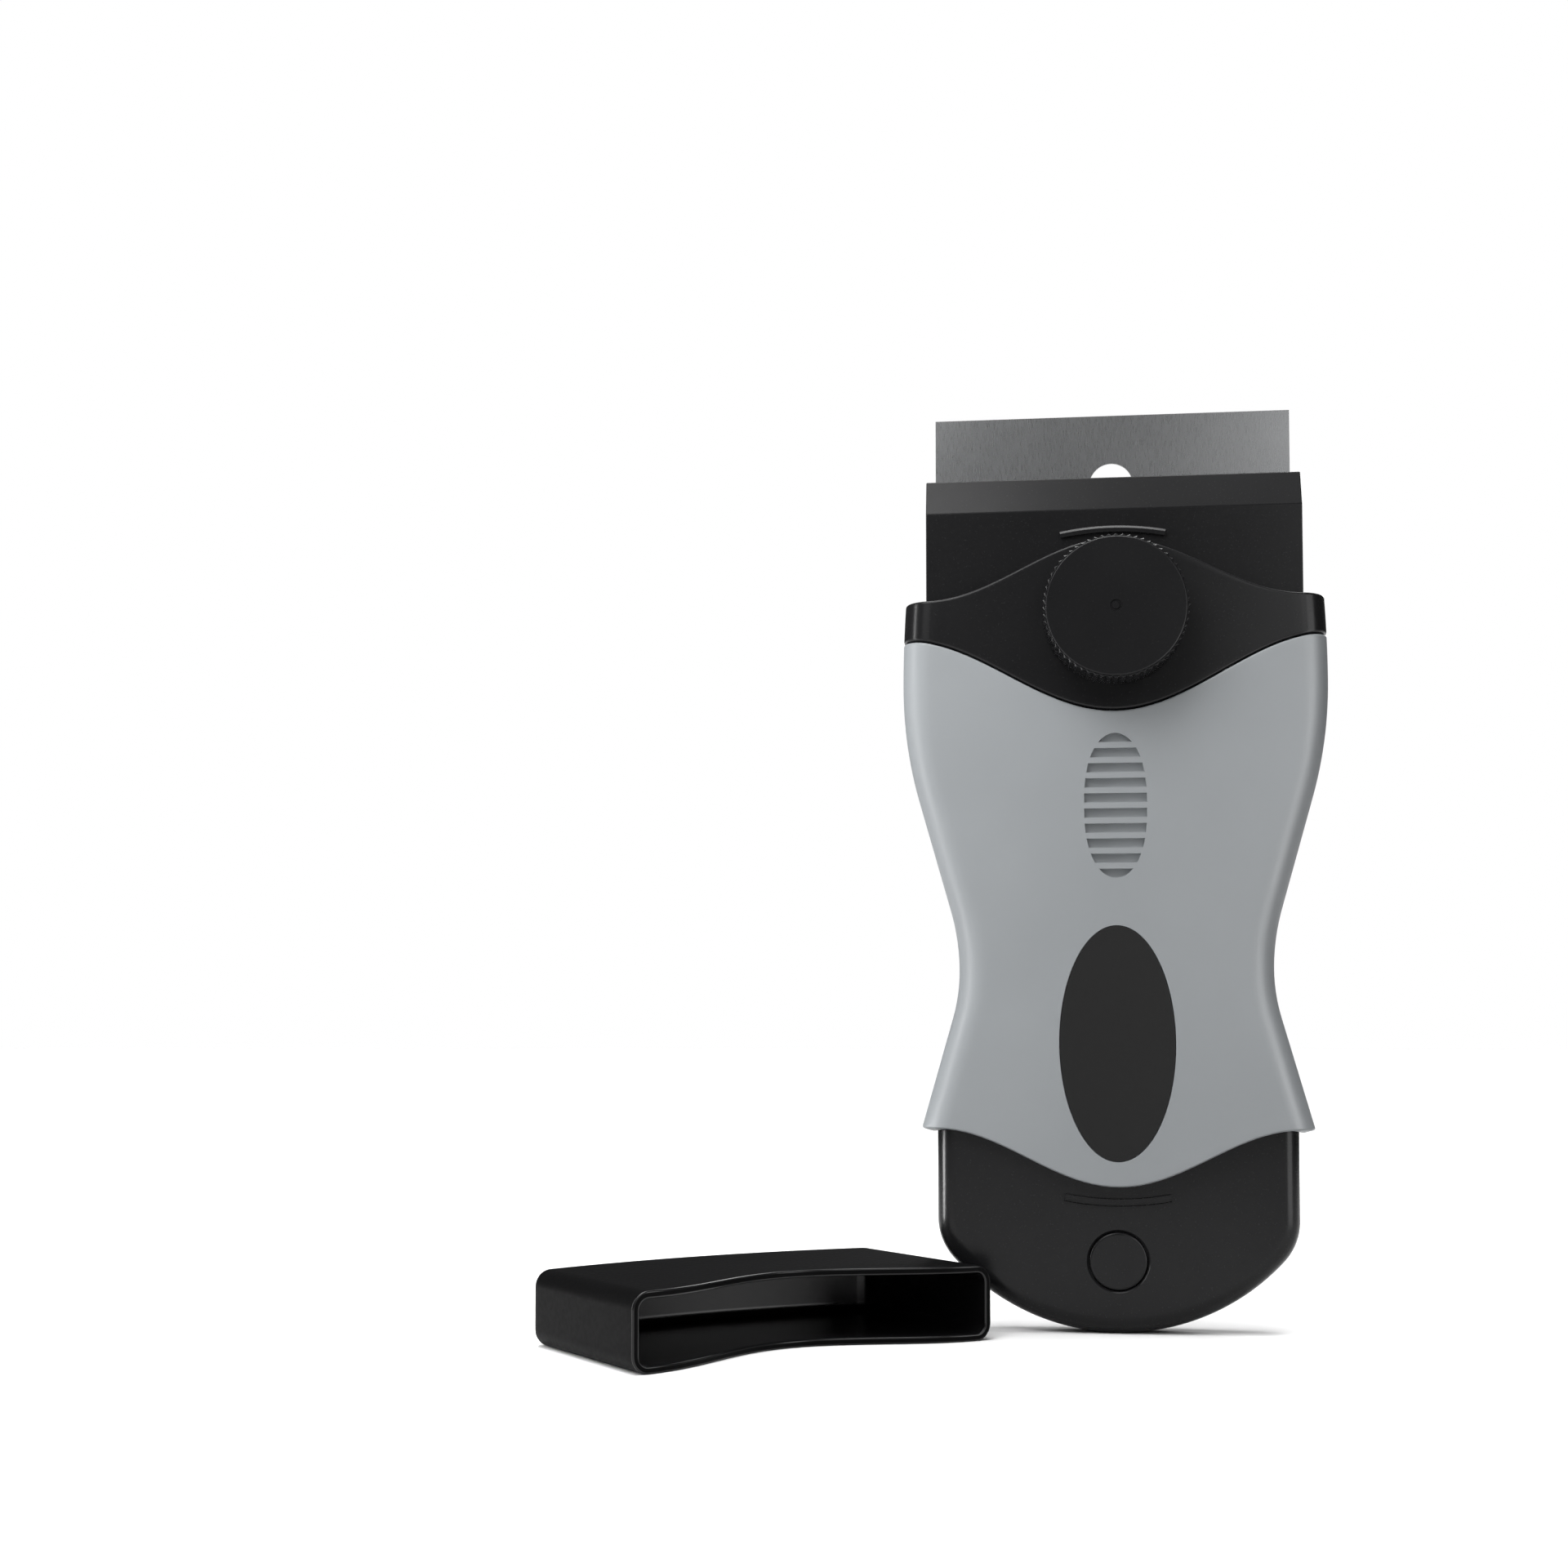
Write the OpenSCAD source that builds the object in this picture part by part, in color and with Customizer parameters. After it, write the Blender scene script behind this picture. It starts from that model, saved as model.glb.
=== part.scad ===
/* [Blade] */
// Length of the cutting edge
blade_w = 60; // [50:1:70]
// Height of the blade from its back edge to its cutting edge
blade_h = 24; // [20:0.5:26]
// Thickness of the blade
blade_t = 0.4; // [0.3:0.1:0.6]
// Height of the ground bevel at the cutting edge
blade_bevel = 1; // [0.6:0.1:1.6]
// Diameter of the hole in the blade
blade_hole_d = 7.4; // [5:0.1:8]
// Height of the blade that stands out of the jaws
blade_reach = 10.9; // [8:0.1:13]

/* [Jaws] */
// Thickness of the clamp plate in front of the blade
jaw_t = 3.2; // [2.8:0.1:4]
// Width of the jaws beyond each end of the blade
jaw_margin = 1.6; // [1:0.1:3]
// Height of the jaws above the middle of the collar
jaw_reach = 11.8; // [10:0.1:15]
// Height of the bevel at the tip of the jaws
jaw_bevel = 6.1; // [4:0.1:7.5]
// Thickness of each jaw at its tip
jaw_tip_t = 1; // [0.6:0.1:1.6]
// Height of the front jaw below the knob's axis
jaw_heel = 7.7; // [7:0.1:9]
// Gap between the front jaw's heel and the front core
jaw_heel_gap = 0.3; // [0.2:0.05:0.6]
// Room between the open jaw and the collar
open_room = 0.4; // [0.3:0.05:0.8]
// Play of the blade in its seat
blade_play = 0.15; // [0.1:0.05:0.3]

/* [Collar] */
// Height of the collar in the middle
collar_rise = 29.3; // [28:0.1:33]
// Depth of the wave in the collar's upper edge
collar_wave = 9.9; // [6:0.1:11]
// Thickness of the collar's front wall
collar_wall = 2; // [1.5:0.1:3]
// Thickness of the collar's side walls
collar_side = 3.7; // [3:0.1:5]
// Seam between the collar and the grip
collar_seam = 0.25; // [0.15:0.05:0.5]

/* [Grip] */
// Length of the grey grip in the middle
grip_len = 79.4; // [76:0.1:90]
// Depth of the wave in the grip's upper edge
grip_top_wave = 12.6; // [9:0.1:14]
// Depth of the wave in the grip's lower edge
grip_foot_wave = 9.5; // [6:0.1:11]
// Width of the grip at its waist
waist_w = 52.4; // [50:0.1:56]
// Height of the waist above the middle of the grip's lower edge
waist_up = 36.1; // [34:0.1:40]
// Height of the widest place above the middle of the grip's upper edge
shoulder_up = 5.1; // [3:0.1:7]
// Radius of the shoulder's curve
shoulder_r = 72; // [60:1:80]
// Radius of the waist's curve above its narrowest place
waist_upper_r = 37; // [30:1:42]
// Radius of the waist's curve below its narrowest place
waist_lower_r = 29; // [26:1:32]
// Radius of the grip's long edges
edge_r = 4.6; // [4:0.1:5.5]
// Height of the crown across the front
crown = 0.6; // [0.3:0.1:1]
// Wall of the grey shells
shell_wall = 2.25; // [1.9:0.05:2.6]
// Gap at the seams between the two halves of the handle
half_seam = 0.1; // [0.05:0.05:0.3]

/* [Recesses] */
// Height of the lens-shaped group of recesses
lens_h = 24.3; // [20:0.1:28]
// Width of the lens-shaped group
lens_w = 10.4; // [8:0.1:13]
// Fullness of the lens, where 2 is an ellipse
lens_full = 2.5; // [2:0.1:3]
// Distance of the lens's middle below the middle of the grip's upper edge
lens_down = 15.9; // [15:0.1:19]
// Number of recesses in the lens
lens_rows = 10; // [6:1:12]
// Height of the web between two recesses
lens_web = 1; // [0.6:0.1:1.2]
// Depth of the recesses
lens_depth = 1.1; // [0.6:0.1:1.2]
// Height of the oval inlay
oval_h = 39.1; // [34:0.1:40]
// Width of the oval inlay
oval_w = 19; // [15:0.1:22]
// Height of the oval's middle above the middle of the grip's lower edge
oval_up = 23.8; // [23:0.1:27]
// Thickness of the oval inlay
oval_t = 1; // [0.6:0.1:1.2]
// Gap round the oval inlay
oval_gap = 0.1; // [0.05:0.05:0.2]

/* [Tail] */
// Length of the tail below the middle of the grip's lower edge
tail_len = 24.5; // [23.5:0.1:30]
// Width of the tail
tail_w = 60; // [56:0.5:62]
// Radius of the tail's round foot
tail_foot_r = 37; // [35:0.5:42]
// Radius that blends the tail's sides into its foot
tail_blend_r = 10; // [7:0.5:12]
// Radius of the tail's edges
tail_edge_r = 3; // [2.5:0.1:3.5]
// Gap between the inner body and the grey shells
fit_gap = 0.15; // [0.1:0.05:0.25]
// Width of the grip's foot beyond each side of the tail
foot_step = 2.65; // [2.5:0.05:3.5]

/* [Beads] */
// Length of the raised beads
bead_len = 17.6; // [12:0.1:22]
// Height of the beads' front faces and ramps together
bead_h = 1.25; // [1:0.05:1.6]
// Rise of the beads above the face that carries them
bead_rise = 0.65; // [0.5:0.05:0.9]
// Height of the ramp that lets the guard slide over a bead
bead_ramp = 0.5; // [0.3:0.05:0.7]
// Bend of a bead, from its middle to its ends
bead_bend = 0.85; // [0.5:0.05:1.2]
// Distance from the collar's upper edge to the jaw's bead
jaw_bead_off = 2.3; // [2:0.1:3]
// Distance from the grip's lower edge to the tail's bead
tail_bead_off = 2.7; // [2:0.1:3]

/* [Tail plug] */
// Diameter of the plug
plug_d = 9.7; // [8:0.1:11]
// Thickness of the plug
plug_t = 1.4; // [1.1:0.1:1.6]
// Height of the plug's middle above the foot
plug_up = 12.1; // [10:0.1:13]
// Gap round the plug
plug_gap = 0.1; // [0.05:0.05:0.2]
// Chamfer of the plug's rim and of its hole
plug_chamfer = 0.3; // [0.2:0.05:0.5]

/* [Knob] */
// Diameter of the knob over its teeth
knob_d = 24; // [20:0.1:26]
// Thickness of the knob
knob_t = 7.4; // [6:0.1:9]
// Number of teeth round the knob
knob_teeth = 64; // [36:1:90]
// Depth of the knob's teeth
tooth_h = 0.4; // [0.3:0.05:0.6]
// Step from the roots of the teeth in to the smooth front rim
rim_step = 0.1; // [0.1:0.05:0.3]
// Radius of the knob's front rim
knob_edge = 0.3; // [0.3:0.1:1]
// Gap between the knob and the collar
knob_lift = 0.6; // [0.4:0.1:1.2]
// Diameter of the knob's boss and of the thrust washer
boss_d = 12; // [10:0.1:14]
// Gap round the boss in the collar
boss_gap = 0.4; // [0.3:0.05:0.6]
// Distance of the knob above the middle of the collar's lower edge
knob_up = 16.1; // [15:0.1:17.5]

/* [Clamp screw] */
// Diameter of the stud
stud_d = 5; // [4:0.1:5.5]
// Pitch of the stud's thread
screw_pitch = 0.8; // [0.7:0.05:1]
// Turns from clamped to open
open_turns = 1.5; // [1:0.25:2]
// Clearance round the stud in the nut
thread_gap = 0.05; // [0.03:0.01:0.08]
// Clearance round the stud in the jaw and the bed
stud_gap = 0.25; // [0.2:0.05:0.4]
// Width of the nut across its flats
nut_af = 8; // [7.5:0.1:10]
// Thickness of the nut
nut_t = 2.7; // [2.2:0.1:2.9]
// Thickness of the thrust washer
washer_t = 0.8; // [0.6:0.1:1]
// Diameter of the retaining ring
ring_d = 8.4; // [8:0.1:10]
// Thickness of the retaining ring
ring_t = 0.6; // [0.5:0.05:0.8]
// Depth of the ring's groove in the stud
groove = 0.4; // [0.3:0.05:0.5]

/* [Small screws] */
// Diameter of the small screws
screw_d = 2.8; // [2.4:0.1:3]
// Diameter of the small screws' heads
screw_head_d = 5.5; // [5:0.1:6]
// Height of the small screws' heads
screw_head_h = 1.6; // [1.2:0.1:1.8]
// Distance between the two grip screws of a pair
screw_span = 36; // [34:0.5:38]
// Height of the lower pair above the middle of the grip's lower edge
screw_low_up = 20.5; // [18:0.5:24]
// Distance of the upper pair below the middle of the grip's upper edge
screw_high_down = 11.4; // [9:0.1:18]
// Wall of a screw boss
boss_wall = 1.2; // [1:0.1:1.4]
// Clearance round a screw's head
head_gap = 0.3; // [0.2:0.05:0.4]

/* [Blade guard] */
// Wall of the guard
guard_wall = 1.2; // [1:0.1:1.6]
// Clearance inside the guard
guard_gap = 0.35; // [0.2:0.05:0.6]
// Room between the cutting edge and the guard's end
guard_tip_gap = 1; // [0.6:0.1:2]
// Rise of the guard's closed end in the middle
guard_crown = 4.2; // [2:0.1:6]
// Radius of the guard's long edges
guard_edge_r = 2.8; // [2.2:0.1:3.5]
// Turn of the guard on the floor
guard_turn = 39; // [30:1:60]
// Place of the mouth's near corner to the left of the scraper's middle
guard_x = 21; // [21:0.5:40]
// Place of the mouth's near corner in front of the scraper's middle
guard_y = 12.5; // [12.5:0.5:20]

/* [Hidden] */
$fn = 64;
black = "#232325";
grey = "#9a9ea1";
steel = "#8f9396";
// Overlap that lets one cut or union run past another face
past = 1;

// Heights along the scraper, from the foot of the tail
grip_foot_z = tail_len;
grip_top_z = grip_foot_z + grip_len;
grip_foot_mid = grip_foot_z + grip_foot_wave / 2;
grip_top_mid = grip_top_z + grip_top_wave / 2;
collar_top_z = grip_top_z + collar_rise;
collar_top_mid = collar_top_z - collar_wave / 2;
jaw_top_z = collar_top_z + jaw_reach;
blade_top_z = jaw_top_z + blade_reach;
blade_foot_z = blade_top_z - blade_h;
blade_hole_z = blade_top_z - blade_h / 2;
waist_z = grip_foot_z + waist_up;
shoulder_z = grip_top_z + shoulder_up;
foot_corner_z = grip_foot_z + grip_foot_wave;
knob_z = grip_top_z + knob_up;
jaw_foot_z = knob_z - jaw_heel;
core_top_z = jaw_foot_z - jaw_heel_gap;
screw_low_z = grip_foot_z + screw_low_up;
screw_high_z = grip_top_z - screw_high_down;

// Widths
jaw_half = blade_w / 2 + jaw_margin;
slide_gap = 2 * fit_gap;
shoulder_half = jaw_half + slide_gap + collar_side;
waist_half = waist_w / 2;
tail_half = tail_w / 2;
foot_half = tail_half + foot_step;

// Depths from the blade's middle plane, the front being negative
jaw_travel = screw_pitch * open_turns;
jaw_back = blade_t / 2;
jaw_front = jaw_back + jaw_t;
neck_room = jaw_front + jaw_travel + open_room;
half_t = neck_room + collar_wall;
core_half = half_t - shell_wall - fit_gap;
bed_face = jaw_back / 2;
seam_half = half_seam / 2;
boss_end = jaw_front + washer_t;
knob_back = half_t + knob_lift;
knob_front = knob_back + knob_t;
stud_front = knob_back + 2 * knob_t / 3;

// Number of steps along the curves
wave_steps = 44;
arc_steps = 5;
corner_steps = 5;
crown_steps = 6;
round_layers = 5;
lens_steps = 24;
// Share of the largest possible radius that an eased curve takes
curve_share = 0.95;

function arc(centre, r, from, to, steps) = [for (i = [0:steps])
    let (a = from + (to - from) * i / steps) [centre[0] + r * cos(a), centre[1] + r * sin(a)]];
function wave(x, middle, depth, span) = middle + depth / 2 * cos(180 * min(abs(x), span) / span);
function grip_top(x) = wave(x, grip_top_mid, -grip_top_wave, shoulder_half);
function grip_foot(x) = wave(x, grip_foot_mid, -grip_foot_wave, tail_half);
function collar_top(x) = wave(x, collar_top_mid, collar_wave, jaw_half);
function reversed(list) = [for (i = [len(list) - 1:-1:0]) list[i]];
function after_first(list) = [for (i = [1:len(list) - 1]) list[i]];
function across(half) = [for (i = [0:wave_steps]) half * (2 * i / wave_steps - 1)];

// Largest radius, or sum of two, of curves that swing out by one distance along another
function swing(out, along) = (out * out + along * along) / (2 * out);
// Radii of the side's curves, eased where the handle is too short or too wide for the full ones
curve_out = shoulder_half - waist_half;
curve_up = shoulder_z - waist_z;
curve_sum = min(shoulder_r + waist_upper_r, curve_share * swing(curve_out, curve_up));
upper_r = curve_sum * waist_upper_r / (shoulder_r + waist_upper_r);
round_r = curve_sum - upper_r;
hip_out = foot_half - waist_half;
hip_down = waist_z - foot_corner_z;
lower_r = min(waist_lower_r, curve_share * swing(hip_out, hip_down));
// Lean of the straight stretch between the shoulder's and the waist's curves
curve_in = curve_sum - curve_out;
lean = atan2(curve_up, curve_in) - acos(curve_sum / norm([curve_in, curve_up]));
// Direction in which the straight stretch to the foot leaves the waist's curve
hip_x = hip_out - lower_r;
hip = atan2(-hip_down, hip_x) + 360 - acos(lower_r / norm([hip_x, hip_down]));
// Curve of the side above the shoulder
neck_r = 3 * shoulder_r;
neck_turn = asin((collar_top_z + past - shoulder_z) / neck_r);

// Half widths of the handle and their heights, from the foot up to the collar's top
side = concat(
    [[foot_half, grip_foot_z - past], [foot_half, foot_corner_z]],
    arc([waist_half + lower_r, waist_z], lower_r, hip, 180, arc_steps),
    after_first(arc([waist_half + upper_r, waist_z], upper_r, 180, 180 - lean, arc_steps)),
    arc([shoulder_half - round_r, shoulder_z], round_r, -lean, 0, 2 * arc_steps),
    after_first(arc([shoulder_half - neck_r, shoulder_z], neck_r, 0, neck_turn, arc_steps)));

// Section across the handle: round corners, a flat back and a crowned front
function section(half, depth, r, rise) = concat(
    arc([half - r, depth - r], r, 0, 90, corner_steps),
    arc([r - half, depth - r], r, 90, 180, corner_steps),
    arc([r - half, r + rise - depth], r, 180, 270, corner_steps),
    [for (i = [1:crown_steps - 1]) let (u = 2 * i / crown_steps - 1)
        [u * (half - r), rise * u * u - depth]],
    arc([half - r, r + rise - depth], r, 270, 360, corner_steps));

// Solid through a row of rings with the same number of points
module loft(rings) {
    n = len(rings[0]);
    last = len(rings) - 1;
    polyhedron(
        points = [for (ring = rings) each ring],
        faces = concat(
            [[for (i = [0:n - 1]) i]],
            [for (k = [0:last - 1]) for (i = [0:n - 1])
                let (a = k * n + i, b = k * n + (i + 1) % n) each [[a, a + n, b + n], [a, b + n, b]]],
            [[for (i = [n - 1:-1:0]) last * n + i]]));
}

// Outer form of the whole handle, which the grip and the collar share
module handle_form() {
    loft([for (p = side) [for (q = section(p[0], half_t, edge_r, crown)) [q[0], q[1], p[1]]]]);
}

// Hollow of the grey shells
module shell_hollow() {
    depth = half_t - shell_wall;
    r = edge_r - shell_wall;
    loft([for (p = side) [for (q = section(p[0] - shell_wall, depth, r, 0)) [q[0], q[1], p[1]]]]);
}

// Front view drawn in X and Z, run through the whole depth
module through(depth = 6 * half_t) {
    rotate([90, 0, 0]) linear_extrude(depth, center = true) children();
}

// Side view drawn in Y and Z, run across a width
module widthways(width) {
    rotate([90, 0, 90]) linear_extrude(width, center = true) children();
}

// Round bar along Y between two depths
module bar(d, from, to, z, x = 0) {
    translate([x, from, z]) rotate([-90, 0, 0]) cylinder(d = d, h = to - from);
}

module hex_bar(af, from, to, z) {
    translate([0, from, z]) rotate([-90, 0, 0]) cylinder(d = af / cos(30), h = to - from, $fn = 6);
}

module front_half() {
    translate([-shoulder_half - past, -half_t - past, -past])
        cube([2 * (shoulder_half + past), half_t + past - seam_half, blade_top_z]);
}

module grip_band() {
    half = shoulder_half + past;
    through() polygon(concat(
        [for (x = across(half)) [x, grip_foot(x)]],
        [for (x = reversed(across(half))) [x, grip_top(x)]]));
}

module collar_band() {
    half = shoulder_half + past;
    through() polygon(concat(
        [for (x = across(half)) [x, grip_top(x) + collar_seam]],
        [for (x = reversed(across(half))) [x, collar_top(x)]]));
}

module at_grip_screws() {
    for (side_x = [-1, 1], z = [screw_low_z, screw_high_z])
        translate([side_x * screw_span / 2, 0, z]) children();
}

// Bent bead with square ends and a ramp on its outer side: up is 1 or -1, the way the ramp faces
module bead(z, depth, up) {
    r = (pow(bead_len / 2, 2) + bead_bend * bead_bend) / (2 * bead_bend);
    reach = asin(bead_len / 2 / r);
    translate([0, -depth, z - up * r]) rotate([90, 90 - 90 * up, 0]) rotate([0, 0, 90 - reach])
        rotate_extrude(angle = 2 * reach) translate([r, 0]) polygon([
            [-bead_h / 2, -past], [bead_h / 2, -past], [bead_h / 2, 0],
            [bead_h / 2 - bead_ramp, bead_rise], [-bead_h / 2, bead_rise]]);
}

module blade() {
    half = blade_t / 2;
    color(steel) difference() {
        widthways(blade_w) polygon([[-half, blade_foot_z], [half, blade_foot_z],
            [half, blade_top_z - blade_bevel], [0, blade_top_z], [-half, blade_top_z - blade_bevel]]);
        bar(blade_hole_d, -past, past, blade_hole_z);
    }
}

// Side view of a jaw: a plate that thins towards its tip
module jaw_profile(foot_z, back, front) {
    polygon([[back, foot_z], [front, foot_z], [front, jaw_top_z - jaw_bevel],
        [back + sign(front) * jaw_tip_t, jaw_top_z], [back, jaw_top_z]]);
}

module front_jaw() {
    room = ring_t + 2 * thread_gap;
    color(black) difference() {
        union() {
            widthways(2 * jaw_half) jaw_profile(jaw_foot_z, -jaw_back, -jaw_front);
            bead(collar_top_z + jaw_bead_off, jaw_front, 1);
        }
        bar(stud_d + 2 * stud_gap, -jaw_front - past, past, knob_z);
        bar(ring_d + 2 * stud_gap, -jaw_back - room - thread_gap, past, knob_z);
    }
}

module collar() {
    room = jaw_half + slide_gap;
    color(black) difference() {
        intersection() {
            handle_form();
            collar_band();
        }
        translate([-room, -neck_room, grip_top_z - past])
            cube([2 * room, neck_room + core_half + fit_gap, collar_rise + 2 * past]);
        bar(boss_d + 2 * boss_gap, -half_t - past, -neck_room + past, knob_z);
    }
}

module knob() {
    r = knob_d / 2;
    rim = r - tooth_h - rim_step;
    step = 180 / knob_teeth;
    color(black) difference() {
        union() {
            translate([0, -knob_back, knob_z]) rotate([90, 0, 0])
                linear_extrude(knob_t - knob_edge) polygon([for (i = [0:2 * knob_teeth - 1])
                    (r - (i % 2) * tooth_h) * [cos(i * step), sin(i * step)]]);
            translate([0, -knob_front, knob_z]) rotate([-90, 0, 0]) rotate_extrude() polygon(concat(
                [[0, 0]], arc([rim - knob_edge, knob_edge], knob_edge, 270, 360, arc_steps),
                [[rim, knob_edge + past], [0, knob_edge + past]]));
            bar(boss_d, -knob_back - past, -boss_end, knob_z);
        }
        bar(stud_d, -stud_front, past, knob_z);
    }
}

module clamp_stud() {
    color(steel) difference() {
        bar(stud_d, -stud_front, core_half - thread_gap, knob_z);
        difference() {
            bar(stud_d + past, -jaw_back - ring_t - 2 * thread_gap, -jaw_back, knob_z);
            bar(stud_d - 2 * groove, -jaw_front, jaw_front, knob_z);
        }
    }
}

module retaining_ring() {
    back = -jaw_back - thread_gap;
    color(steel) difference() {
        bar(ring_d, back - ring_t, back, knob_z);
        bar(stud_d - 2 * groove + 2 * thread_gap, -jaw_front, jaw_front, knob_z);
    }
}

module thrust_washer() {
    color(steel) difference() {
        bar(boss_d, -boss_end, -jaw_front, knob_z);
        bar(stud_d + 2 * stud_gap, -half_t, past, knob_z);
    }
}

module clamp_nut() {
    color(steel) difference() {
        hex_bar(nut_af, core_half - nut_t, core_half, knob_z);
        bar(stud_d + 2 * thread_gap, 0, half_t, knob_z);
    }
}

// Front outline of the inner body, drawn in by an inset: tail, waist and a square top
function core_side(inset) =
    let (blend_x = tail_half - tail_blend_r,
        blend_z = tail_foot_r - sqrt(pow(tail_foot_r - tail_blend_r, 2) - blend_x * blend_x),
        meet = atan2(blend_z - tail_foot_r, blend_x),
        tight = shell_wall + fit_gap)
    concat(
        arc([0, tail_foot_r], tail_foot_r - inset, -90, meet, 2 * arc_steps),
        after_first(arc([blend_x, blend_z], tail_blend_r - inset, meet, 0, arc_steps)),
        [for (p = side) if (p[1] > grip_foot_z && p[1] < core_top_z - past)
            [min(tail_half, p[0] - tight) - inset, p[1]]],
        [[jaw_half - inset, core_top_z]]);
function core_outline(inset) = let (right = core_side(inset)) concat(
    right, [for (p = reversed(right)) if (p[0] > past) [-p[0], p[1]]]);

// One half of the inner body, in front of the middle plane
module core_form() {
    rounding = [for (k = [0:round_layers]) let (a = 90 * k / round_layers)
        [tail_edge_r * (1 - sin(a)), core_half - tail_edge_r * (1 - cos(a))]];
    layers = concat([[tail_edge_r, half_t]], rounding, [[0, -past]]);
    intersection() {
        loft([for (layer = reversed(layers)) [for (p = core_outline(layer[0])) [p[0], -layer[1], p[1]]]]);
        translate([-shoulder_half, -core_half, -past])
            cube([2 * shoulder_half, core_half - seam_half, core_top_z + 2 * past]);
    }
}

// Hollows in each half of the inner body, with ribs between them, and the screw bosses' holes
module core_hollows() {
    half = screw_span / 2 - screw_head_d / 2 - head_gap - 2 * boss_wall;
    rib = 2 * boss_wall;
    low = foot_corner_z + rib;
    cell = (core_top_z - rib - low) / 3;
    for (i = [0:2]) translate([-half, -core_half + 2 * boss_wall, low + i * cell])
        cube([2 * half, 2 * core_half - 4 * boss_wall, cell - rib]);
    at_grip_screws() bar(screw_head_d + 2 * (head_gap + boss_wall + fit_gap), -half_t, half_t, 0);
}

module core_front() {
    hole = plug_d + 2 * plug_gap;
    flare = plug_chamfer + past;
    color(black) difference() {
        union() {
            core_form();
            bead(grip_foot_z - tail_bead_off, core_half, -1);
        }
        core_hollows();
        bar(hole, -half_t, -core_half + plug_t, plug_up);
        translate([0, -core_half - past, plug_up]) rotate([-90, 0, 0])
            cylinder(d1 = hole + 2 * flare, d2 = hole, h = flare);
        bar(screw_head_d + 2 * head_gap, -half_t, -core_half + plug_t + screw_head_h, plug_up);
        bar(screw_d + 2 * stud_gap, -half_t, past, plug_up);
    }
}

module core_back() {
    seat_half = blade_w / 2 + blade_play;
    color(black) difference() {
        union() {
            mirror([0, 1, 0]) core_form();
            widthways(2 * jaw_half) jaw_profile(core_top_z - past, -bed_face, core_half);
        }
        core_hollows();
        translate([-shoulder_half, -half_t, -past])
            cube([2 * shoulder_half, half_t + seam_half, core_top_z + past]);
        translate([-seat_half, -half_t, blade_foot_z])
            cube([2 * seat_half, half_t + blade_t / 2, blade_h + past]);
        bar(stud_d + 2 * stud_gap, -past, half_t, knob_z);
        hex_bar(nut_af + 2 * thread_gap, core_half - nut_t, half_t, knob_z);
        bar(screw_d + 2 * thread_gap, -past, core_half - boss_wall, plug_up);
    }
}

// Half width of the lens at a share of its half height
function lens_half(share) = lens_w / 2 * sqrt(max(0, 1 - pow(abs(share), lens_full)));

// Lens cut into rows
module lens_rows_shape() {
    shares = [for (i = [0:lens_steps]) -cos(180 * i / lens_steps)];
    right = [for (s = shares) [lens_half(s), s * lens_h / 2]];
    pitch = (lens_h + lens_web) / lens_rows;
    intersection() {
        polygon(concat(right, [for (p = reversed(right)) if (p[0] > 0) [-p[0], p[1]]]));
        for (i = [0:lens_rows - 1]) translate([-lens_w / 2, i * pitch - lens_h / 2])
            square([lens_w, pitch - lens_web]);
    }
}

module oval_prism(gap) {
    a = oval_w / 2 + gap;
    b = oval_h / 2 + gap;
    translate([0, oval_t - half_t, grip_foot_z + oval_up]) rotate([90, 0, 0])
        linear_extrude(oval_t + past) polygon([for (t = [0:6:354]) [a * cos(t), b * sin(t)]]);
}

module grip_front() {
    inside = half_t - shell_wall;
    boss = screw_head_d + 2 * (head_gap + boss_wall);
    color(grey) difference() {
        union() {
            difference() {
                intersection() {
                    handle_form();
                    grip_band();
                    front_half();
                }
                shell_hollow();
            }
            at_grip_screws() bar(boss, -inside - past, seam_half, 0);
        }
        at_grip_screws() bar(screw_d + 2 * thread_gap, -inside, half_t, 0);
        translate([0, lens_depth - half_t, grip_top_z - lens_down]) rotate([90, 0, 0])
            linear_extrude(lens_depth + past) lens_rows_shape();
        oval_prism(oval_gap);
    }
}

module grip_back() {
    inside = half_t - shell_wall;
    boss = screw_head_d + 2 * (head_gap + boss_wall);
    seat = inside - boss_wall;
    color(grey) difference() {
        union() {
            difference() {
                intersection() {
                    handle_form();
                    grip_band();
                    mirror([0, 1, 0]) front_half();
                }
                shell_hollow();
            }
            at_grip_screws() bar(boss, 2 * seam_half, inside + past, 0);
        }
        at_grip_screws() bar(screw_head_d + 2 * head_gap, seat, half_t + past, 0);
        at_grip_screws() bar(screw_d + 2 * stud_gap, 0, half_t, 0);
    }
}

module oval_inlay() {
    color("#2b2b2b") intersection() {
        handle_form();
        oval_prism(0);
    }
}

module tail_plug() {
    r = plug_d / 2;
    color(black) translate([0, -core_half, plug_up]) rotate([-90, 0, 0]) rotate_extrude() polygon([
        [0, 0], [r - plug_chamfer, 0], [r, plug_chamfer], [r, plug_t], [0, plug_t]]);
}

module tail_screw() {
    seat = -core_half + plug_t + screw_head_h;
    color(steel) {
        bar(screw_head_d, seat - screw_head_h, seat, plug_up);
        bar(screw_d, seat - screw_head_h / 2, core_half - 2 * boss_wall, plug_up);
    }
}

module grip_screws() {
    seat = half_t - shell_wall - boss_wall;
    color(steel) at_grip_screws() {
        bar(screw_head_d, seat, seat + screw_head_h, 0);
        bar(screw_d, -core_half + boss_wall, seat + screw_head_h / 2, 0);
    }
}

// Rounded rectangle of two crossed squares and four corner circles
module rounded(w, t, r) {
    square([w - 2 * r, t], center = true);
    square([w, t - 2 * r], center = true);
    for (x = [-1, 1], y = [-1, 1]) translate([x * (w / 2 - r), y * (t / 2 - r)]) circle(r);
}

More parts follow.
